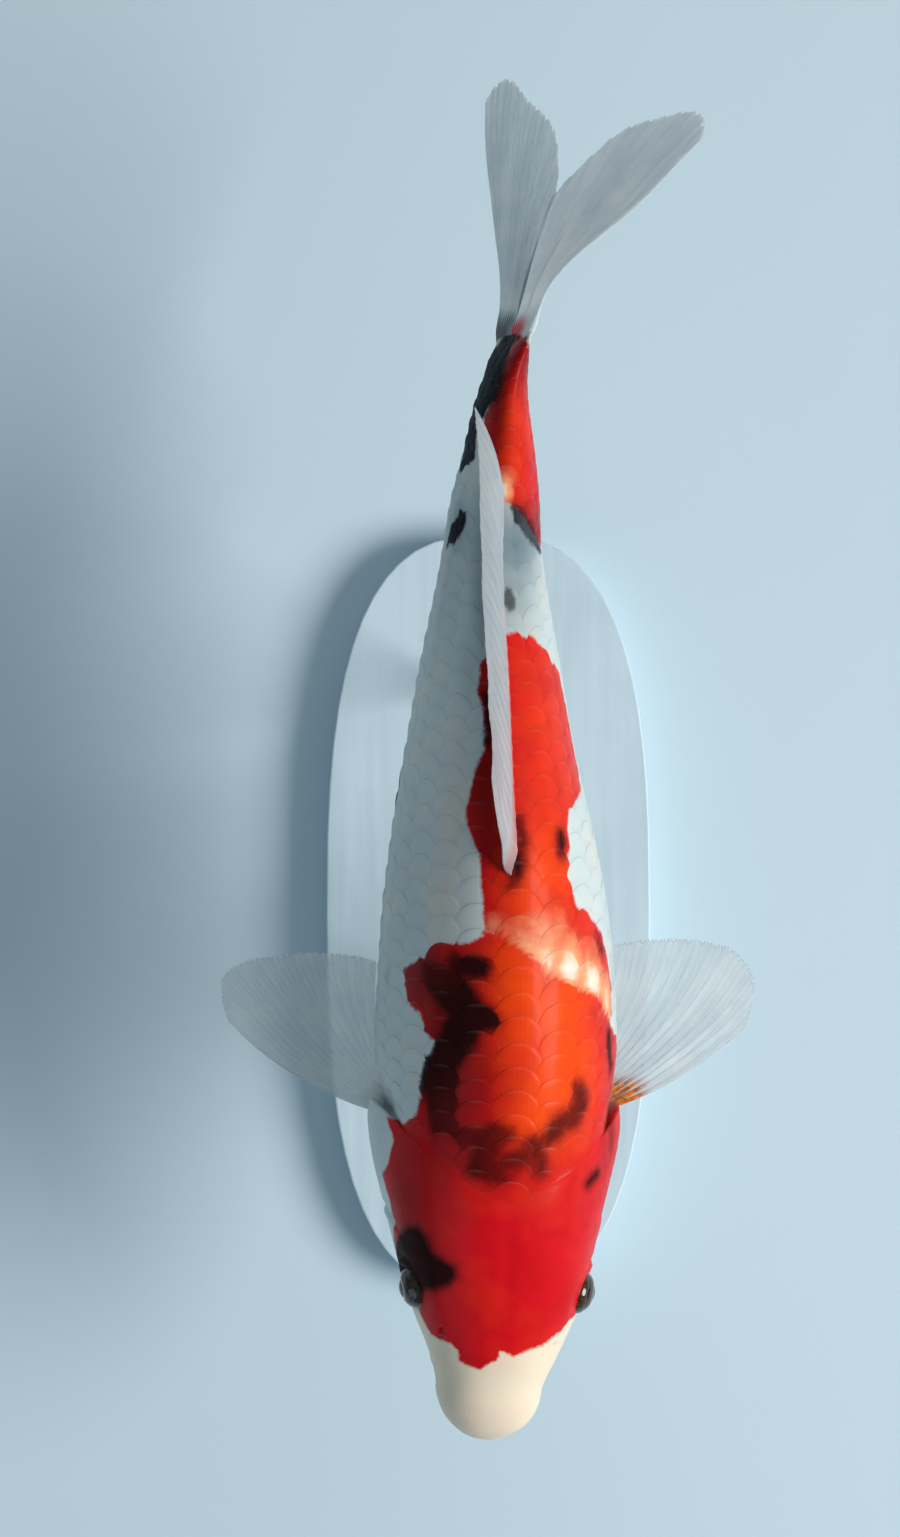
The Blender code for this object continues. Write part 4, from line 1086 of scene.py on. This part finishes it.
def finColours(name, r, t, phase, side):
    # red, orange and dark ink that run out along the rays from the body, and painted shade in streaks on the
    # tail lobes
    red = orange = inkAndShade = 0
    jagged = 0.5 + 0.5 * np.sin(phase * 2 * math.pi - math.pi / 2)
    if name.startswith("tail"):
        reach = 0.03 + 0.045 * jagged + 0.012 * np.sin(r * 7)
        rooted = faded(reach - 0.035, reach, t)
        if name.endswith("Upper"):
            red = rooted * 0.95 * faded(0.4, 0.85, r)
            # painted shade: a dark streak down a fold in the middle of the upper lobe
            shadeStreak = 0.6 * bump(r, 0.46 - 0.2 * t, 0.045 + 0.06 * t) * between(t, 0.05, 0.11, 0.32, 0.62)
        else:
            red = rooted * 0.6 * (side > 0)
            inkAndShade = faded(reach - 0.03, reach + 0.06, t) * 0.9 * (side < 0)
            # painted shade over the lower lobe, darkest near its root
            shadeStreak = 0.25 * bump(r, 0.25, 0.25) * faded(0.2, 0.75, t)
        inkAndShade = np.maximum(inkAndShade, shadeStreak)
    elif name == "pectoralFinLeft":
        torn = 0.03 * np.sin(phase * 5.3) + 0.02 * np.sin(phase * 11 + 1)
        orange = faded(0.29 + torn, 0.39 + torn, t + 0.25 * r) * faded(0.3, 0.55, r)
        inkAndShade = 0.9 * bump(r, 0.21 - 0.35 * t, 0.035) * between(t, 0.08, 0.13, 0.2, 0.27)
    elif name == "dorsalFin":
        red = 0.6 * faded(0.02, 0.14 + 0.06 * jagged, t) * bump(r, 0.35, 0.4) + 0.035
        inkAndShade = 0.45 * bump(r, 0, 0.05) * faded(0.05, 0.4, t)
    elif name.startswith("pelvic"):
        orange = 0.2 * faded(0.05, 0.3, t)
    return red, orange, inkAndShade


for part in fins:
    makeFin(part)


# Eyes: flattened balls with a raised pupil, a gold-edged brown iris and a dark rim
iris = {
    "pupil": (0.003, 0.003, 0.004, 1), "edge": (0.016, 0.01, 0.008, 1),
    "gold": ((0.2, 0.115, 0.03, 1), (0.58, 0.4, 0.15, 1)), "goldMottle": (0.3, 0.6),
    "bronze": ((0.04, 0.02, 0.008, 1), (0.26, 0.15, 0.045, 1)),
    "shadow": ((0.012, 0.007, 0.004, 1), (0.075, 0.038, 0.012, 1)),
    "rim": ((0.02, 0.011, 0.006, 1), (0.06, 0.036, 0.014, 1)), "rimMottle": (0.4, 0.62),
}


def eyeMaterial():
    made, shader = newMaterial("wetEye", {"Coat Weight": 0.7, "Coat Roughness": 0.05, "IOR": 1.36})
    mottle = noise(900, 4)
    out = plus(readValue("eyeRadius"), times(plus(noise(420, 3), -0.5), 0.9))
    colour = iris["pupil"]
    for ring, low, high in (("gold", 2.55, 2.8), ("brown", 3, 3.9), ("edge", 4.9, 6), ("rim", 5.9, 6.3)):
        if ring == "brown":
            shadow = mixed(ramped(mottle, 0.4, 0.66), *iris["shadow"])
            tone = mixed(ramped(mottle, 0.38, 0.62), *iris["bronze"])
            tone = mixed(ramped(readValue("eyeHigh"), -3.2, 2.6), tone, shadow)
        elif ring == "edge":
            tone = iris["edge"]
        else:
            tone = mixed(ramped(mottle, *iris[ring + "Mottle"]), *iris[ring])
        colour = mixed(ramped(out, low, high), colour, tone)
    finish(shader, colour, ramped(mottle, 0.3, 0.7, 0.12, 0.26), mottle, 0.1, 0.0001)
    return made


wetEye = eyeMaterial()


def makeEye(name, sign, node):
    rings, around, radius = eye["rings"], eye["around"], eye["radius"] - 0.05
    phi = np.linspace(0, math.pi, rings + 2)[1:-1, None]
    spin = (np.arange(around) * 2 * math.pi / around)[None, :]
    front, rho = np.cos(phi) > 0, radius * np.sin(phi)
    # millimetres that the pupil and the iris bulge, with a groove round each
    detail = 0.3 * np.clip(1 - (rho / 2.7) ** 2, 0, 1) + 0.1 * bump(rho, 4.2, 0.9)
    detail = detail - 0.12 * bump(rho, 2.9, 0.25) - 0.14 * bump(rho, 5.9, 0.3)
    out = radius * eye["flatten"] * np.cos(phi) + np.where(front, detail, 0)
    axis, centre = eyeAxis(sign), eyeCentre(sign)
    upwards = unit(np.array([0, 0, 1]) - axis * axis[2])
    high, wide = rho * np.cos(spin), rho * np.sin(spin)
    shape = out[..., None] * axis + high[..., None] * upwards + wide[..., None] * np.cross(axis, upwards)
    tips = np.array([[radius * eye["flatten"] + 0.3], [-radius * eye["flatten"]]]) * axis
    points = centre + np.concatenate([shape.reshape(-1, 3), tips]) / 1000
    faces = [f[:, ::-1] for f in tube(rings, around)[0]]
    # the map is a disc for the front half, with the back half in a ring round it
    reach = 0.02 + 0.46 * phi / math.pi
    place = np.stack([0.5 + reach * np.cos(spin), 0.5 + reach * np.sin(spin)], axis=-1).reshape(-1, 2)
    place = np.concatenate([place, [[0.5, 0.5], [0.5, 0.5]]])
    corners = [place[f] for f in faces]
    corners[2][:, 2] = corners[2][:, 0] * 1.01 - 0.005
    seen = np.where(front, rho, eye["radius"]) + 0 * spin
    values = {"eyeRadius": np.append(seen, [0, eye["radius"]]), "eyeHigh": np.append(high, [0, 0])}
    makePiece(name, points, faces, corners, values, wetEye, "eye", (node,))


makeEye("eyeLeft", 1, "eye_left")
makeEye("eyeRight", -1, "eye_right")

# Feelers: two pairs on the upper lip and at the corners of the mouth
feelers = {
    "rings": 40, "around": 16,
    "base": (0.84, 0.66, 0.5, 1), "tip": (0.8, 0.42, 0.3, 1), "blotch": (0.66, 0.36, 0.26, 1),
    "Front": {"root": (0.03, 108), "reach": (0.011, 0.005, -0.022), "radius": 0.62},
    "Back": {"root": (0.06, 108), "reach": (0.03, 0.007, -0.036), "radius": 0.85},
}


def makeFeeler(pair, sideName, sign):
    shape = feelers[pair]
    station, degrees = shape["root"]
    side, height = flank(station, math.radians(degrees))
    back, outwards, down = shape["reach"]
    rings, around = feelers["rings"], feelers["around"]
    t = np.linspace(-0.05, 1, rings)
    side = side - 0.0025 + outwards * (1.5 * t - 0.7 * t * t)
    height = height + 0.001 + down * t * (1.2 - 0.2 * t)
    line = placed(station + back * np.maximum(t, 0) ** 1.6, sign * side, height)
    tangent = unit(np.gradient(line, axis=0))
    first = unit(np.cross(tangent, (0, 0, 1)))
    second = np.cross(tangent, first)
    spin = (np.arange(around) * 2 * math.pi / around)[:, None]
    wrinkle = 1 + 0.035 * np.sin(t * 60)
    radius = shape["radius"] * (1.35 - 0.85 * np.clip(t, 0, 1)) * wrinkle
    radius = radius * np.sqrt(np.clip((1 - t) / 0.03, 0.02, 1)) / 1000
    circle = np.cos(spin) * first[:, None] + np.sin(spin) * second[:, None]
    points = (line[:, None] + circle * radius[:, None, None]).reshape(-1, 3)
    points = np.concatenate([points, line[:1], line[-1:]])
    values = {"feelerReach": np.append(np.repeat(t, around), [0, 1])}
    node = f"barbel_{pair.lower()}_{sideName.lower()}"
    makePiece("feeler" + pair + sideName, points, *tube(rings, around), values, feelerSkin, "jaw_skin", (node,))


def feelerMaterial():
    made, shader = newMaterial("feelerSkin", {
        "Coat Weight": 0.5, "Coat Roughness": 0.12, "Subsurface Weight": 0.08, "Subsurface Scale": 0.003,
    })
    colour = mixed(readValue("feelerReach"), feelers["base"], feelers["tip"])
    colour = mixed(patchy(900, 0.4, 0.7, 0, 0.4), colour, feelers["blotch"])
    finish(shader, colour, patchy(500, 0.3, 0.7, 0.28, 0.42, 2), noise(1800, 3), 0.3)
    return made


feelerSkin = feelerMaterial()
for pair in ("Front", "Back"):
    makeFeeler(pair, "Left", 1)
    makeFeeler(pair, "Right", -1)

# Stand: painted wooden base, brushed steel rods
steelTones = (0.6, 0.6, 0.59, 1), (0.5, 0.5, 0.5, 1)
paint = {"main": (0.6, 0.74, 0.82, 1), "thin": (0.54, 0.68, 0.76, 1), "worn": (0.68, 0.78, 0.83, 1)}


def paintMaterial():
    made, shader = newMaterial("satinPaint", {"Coat Weight": 0.08, "Coat Roughness": 0.3})
    strokes = noise(260, 4, (1, 0.05, 1))
    share = plus(times(strokes, 0.5), times(noise(26, 3), 0.5))
    colour = mixed(ramped(share, 0.38, 0.62), paint["thin"], paint["main"])
    colour = mixed(times(patchy(700, 0.7, 0.76, detail=2), 0.35), colour, paint["worn"])
    finish(shader, colour, ramped(share, 0.3, 0.7, 0.42, 0.56), strokes, 0.22, 0.0003)
    return made


def steelMaterial():
    made, shader = newMaterial("brushedSteel", {"Metallic": 1})
    brushed = noise(1800, 3, (1, 1, 0.03))
    colour = mixed(patchy(60, 0.35, 0.7), *steelTones)
    finish(shader, colour, ramped(brushed, 0.3, 0.7, 0.22, 0.38), brushed, 0.2, 0.0001)
    return made


def dressNode(name, material):
    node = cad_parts[name]
    for place in node.material_slots:
        place.material = material


dressNode("stand_base", paintMaterial())
steel = steelMaterial()
dressNode("stand_rod_front", steel)
dressNode("stand_rod_back", steel)
print("stand dressed")

# Floor and light; each lamp has its place, aim, size, power and colour
studio = {
    "floor": (0.6, 0.75, 0.83, 1), "floorShade": (0.56, 0.71, 0.79, 1), "floorSize": 14, "plain": (0.9, 2.6),
    "ambient": (0.62, 0.8, 0.94, 1), "ambientPower": 0.2, "backdrop": (0.54, 0.66, 0.72, 1),
    "lamps": {
        "key": ((2.05, -0.32, 1.75), (0, 0.03, 0.15), 1.5, 72, (1, 0.98, 0.95)),
        "fill": ((-1.7, -1.5, 1.5), (0, -0.03, 0.14), 2.2, 9, (0.8, 0.92, 1)),
        "over": ((0.9, 2.4, 2.3), (0, 0.04, 0.14), 2.7, 9, (1, 1, 1)),
    },
}


def makeFloor():
    half = studio["floorSize"] / 2
    mesh = bpy.data.meshes.new("floor")
    corners = [(x * half, y * half, 0) for x, y in ((-1, -1), (1, -1), (1, 1), (-1, 1))]
    mesh.from_pydata(corners, [], [(0, 1, 2, 3)])
    made, shader = newMaterial("floorPaint", {"Roughness": 0.75, "Emission Strength": 1})
    tint = mixed(patchy(3, 0.3, 0.7, 0, 0.12, 4), studio["floor"], studio["floorShade"])
    # far from the stand the floor turns into the colour of the backdrop, like a studio sweep
    spot = addNode("ShaderNodeTexCoord").outputs["Object"]
    away = addNode("ShaderNodeVectorMath", {0: spot}, operation="LENGTH").outputs["Value"]
    far, none = ramped(away, *studio["plain"]), (0, 0, 0, 1)
    link(mixed(far, tint, none), shader["Base Color"])
    link(mixed(far, none, studio["backdrop"]), shader["Emission Color"])
    mesh.materials.append(made)
    floor = addObject("floor", mesh)


def makeLamps():
    for name, (spot, aim, size, power, colour) in studio["lamps"].items():
        data = bpy.data.lights.new(name, "AREA")
        data.shape, data.size, data.energy, data.color = "DISK", size, power, colour
        light = addObject(name, data)
        light.location = spot
        light.rotation_euler = (Vector(aim) - Vector(spot)).to_track_quat("-Z", "Y").to_euler()


def makeWorld():
    # the camera sees the plain backdrop, and the fish is lit by a softer sky
    world = bpy.data.worlds.new("studio")
    world.use_nodes = True
    work["tree"] = world.node_tree
    sky = world.node_tree.nodes["Background"]
    sky.inputs["Color"].default_value = studio["ambient"]
    sky.inputs["Strength"].default_value = studio["ambientPower"]
    backdrop = addNode("ShaderNodeBackground", {"Color": studio["backdrop"], "Strength": 1})
    direct = addNode("ShaderNodeLightPath").outputs["Is Camera Ray"]
    chosen = addNode("ShaderNodeMixShader", {0: direct, 1: sky.outputs[0], 2: backdrop.outputs[0]})
    link(chosen.outputs[0], world.node_tree.nodes["World Output"].inputs["Surface"])
    bpy.context.scene.world = world


makeFloor()
makeLamps()
makeWorld()
print("studio lit")
